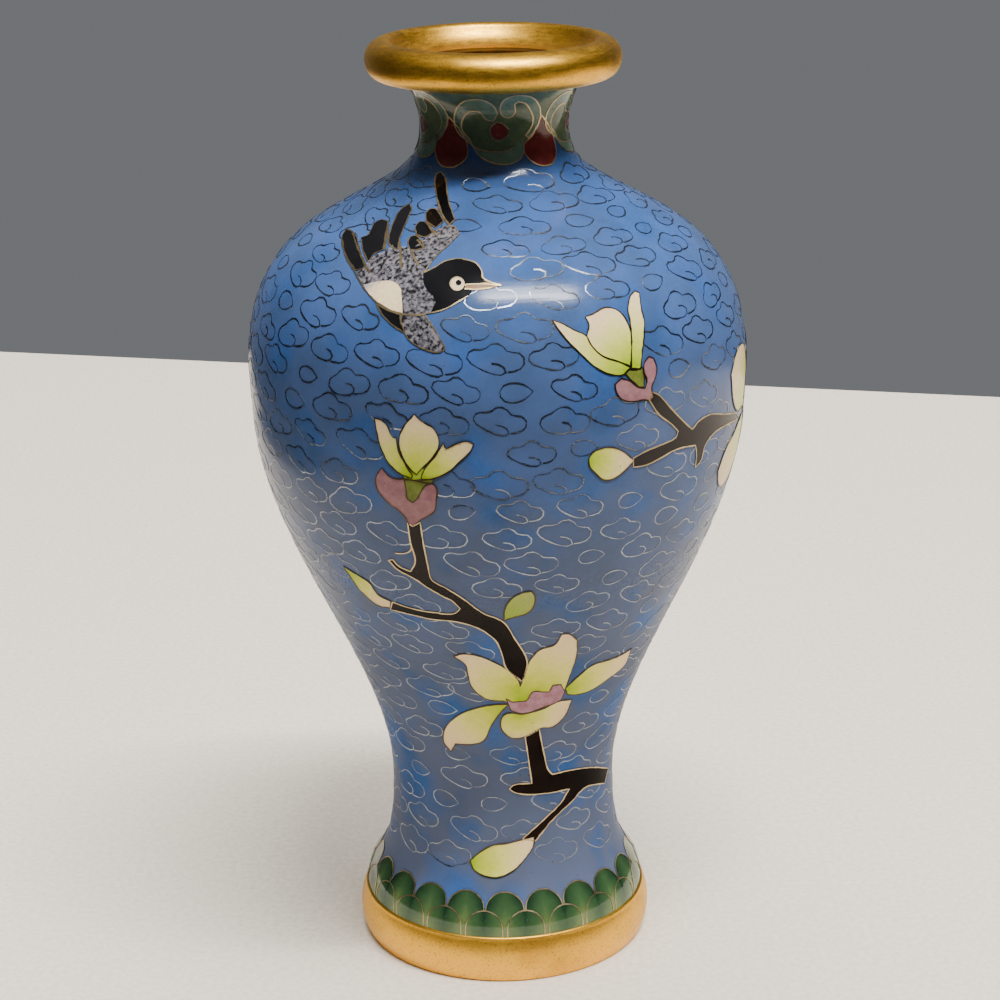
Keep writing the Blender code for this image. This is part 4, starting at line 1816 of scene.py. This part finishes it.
class VASE_OT_stage(bpy.types.Operator):
    """Set the pale floor, the soft lights and the camera"""

    bl_idname = "vase.stage"
    bl_label = "Floor, Lights and Camera"

    def execute(self, context):
        self.lay_floor()
        self.light(context)
        self.set_camera(context)
        return {"FINISHED"}

    def lay_floor(self):
        """A plain pale floor with the faint grain of matt paper."""
        mesh = bpy.data.meshes.new("floor")
        mesh.from_pydata([(x, y, 0.0) for x, y in FLOOR_CORNERS], [], [(0, 1, 2, 3)])
        material, tree = new_material("pale matt floor")
        place = add(tree, "ShaderNodeTexCoord").outputs["Object"]
        fibre = add(tree, NOISE, {"Vector": place, "Scale": 1.0 / PAPER_GRAIN, "Detail": 3.0})
        low, high = PAPER_SPREAD
        share = add(tree, RANGE, {"Value": fibre, "From Min": low, "From Max": high})
        dark, light = (linear(tone) for tone in PAPER_TONES)
        tone = add(tree, MIX, {"Factor": share, UNDER: dark, OVER: light}, data_type="RGBA")
        strength, depth = PAPER_BUMP
        nap = add(tree, BUMP, {"Height": fibre, "Strength": strength, "Distance": depth})
        shader = add(
            tree,
            SHADER,
            {"Base Color": tone, "Normal": nap, "Roughness": PAPER_ROUGHNESS},
        )
        add(tree, OUTPUT, {"Surface": shader})
        mesh.materials.append(material)
        floor = placed("floor", mesh)

    def light(self, context):
        """A long light of two strips in front, a wide one overhead, and the room's own light."""
        back = KEY_WAY.normalized()
        crosswise = back.cross(KEY_LENGTHWISE).normalized()
        axes = Matrix((crosswise.cross(back), crosswise, back)).transposed().to_4x4()
        for name, aside, width, power in KEY_STRIPS:
            lamp = bpy.data.lights.new(name, "AREA")
            lamp.shape = "RECTANGLE"
            lamp.size = KEY_LENGTH
            lamp.size_y = width
            lamp.energy = power
            middle = KEY_AIM + KEY_AWAY * KEY_WAY + aside * crosswise
            placed(name, lamp).matrix_world = Matrix.Translation(middle) @ axes
        lamp = bpy.data.lights.new("ceiling light", "AREA")
        lamp.size = CEILING_SIZE
        lamp.energy = CEILING_POWER
        holder = placed("ceiling light", lamp)
        holder.matrix_world = Matrix.Translation(CEILING_PLACE)
        holder.visible_glossy = False
        world = bpy.data.worlds.new("room")
        context.scene.world = world
        world.use_nodes = True
        tree = world.node_tree
        tree.nodes.clear()
        way = add(tree, "ShaderNodeTexCoord").outputs["Generated"]
        ways = add(tree, SPLIT, {0: way}).outputs
        tone = linear(ROOM_DARK)
        for direction, (low, high), further in (
            ("Y", ROOM_WALL_SPREAD, ROOM_WALL),
            ("Z", ROOM_HIGH_SPREAD, ROOM_HIGH),
        ):
            share = add(tree, RANGE, {"Value": ways[direction], "From Min": low, "From Max": high})
            tones = {"Factor": share, UNDER: tone, OVER: linear(further)}
            tone = add(tree, MIX, tones, data_type="RGBA")
        sky = add(tree, "ShaderNodeBackground", {"Color": tone, "Strength": ROOM_STRENGTH})
        add(tree, "ShaderNodeOutputWorld", {"Surface": sky.outputs[0]})

    def set_camera(self, context):
        """The camera at the photograph's place, angle and field of view."""
        lens = bpy.data.cameras.new("camera")
        lens.sensor_width = SENSOR
        lens.lens = CAMERA_FOCUS / PICTURE_SIDE * SENSOR
        lens.shift_y = (PICTURE_CENTRE[1] - PICTURE_SIDE / 2) / PICTURE_SIDE
        lens.clip_start = NEAREST_SHOWN
        camera = placed("camera", lens)
        camera.matrix_world = (
            Matrix.Translation(CAMERA_PLACE) @ Matrix(camera_axes()).transposed().to_4x4()
        )
        context.scene.camera = camera


PIECES = (
    VASE_OT_body,
    VASE_OT_rims,
    VASE_OT_picture,
    VASE_OT_neck,
    VASE_OT_scales,
    VASE_OT_clouds,
    VASE_OT_stage,
)


class VASE_PT_panel(bpy.types.Panel):
    """List the vase's pieces and their sizes and colours"""

    bl_label = "Cloisonne Vase"
    bl_idname = "VASE_PT_panel"
    bl_space_type = "VIEW_3D"
    bl_region_type = "UI"
    bl_category = "Vase"

    def draw(self, context):
        for operator in PIECES:
            self.layout.operator(operator.bl_idname)
        for group in (context.scene.vase_sizes, context.scene.vase_colours):
            for name in group.__annotations__:
                self.layout.prop(group, name)


CLASSES = (VaseSizes, VaseColours) + PIECES + (VASE_PT_panel,)


def register():
    for cls in CLASSES:
        bpy.utils.register_class(cls)
    bpy.types.Scene.vase_sizes = bpy.props.PointerProperty(type=VaseSizes)
    bpy.types.Scene.vase_colours = bpy.props.PointerProperty(type=VaseColours)


def unregister():
    del bpy.types.Scene.vase_colours
    del bpy.types.Scene.vase_sizes
    for cls in reversed(CLASSES):
        bpy.utils.unregister_class(cls)


def main():
    register()
    bpy.ops.vase.body()
    bpy.ops.vase.rims()
    bpy.ops.vase.picture()
    bpy.ops.vase.neck()
    bpy.ops.vase.scales()
    bpy.ops.vase.clouds()
    bpy.ops.vase.stage()


if __name__ == "__main__":
    main()
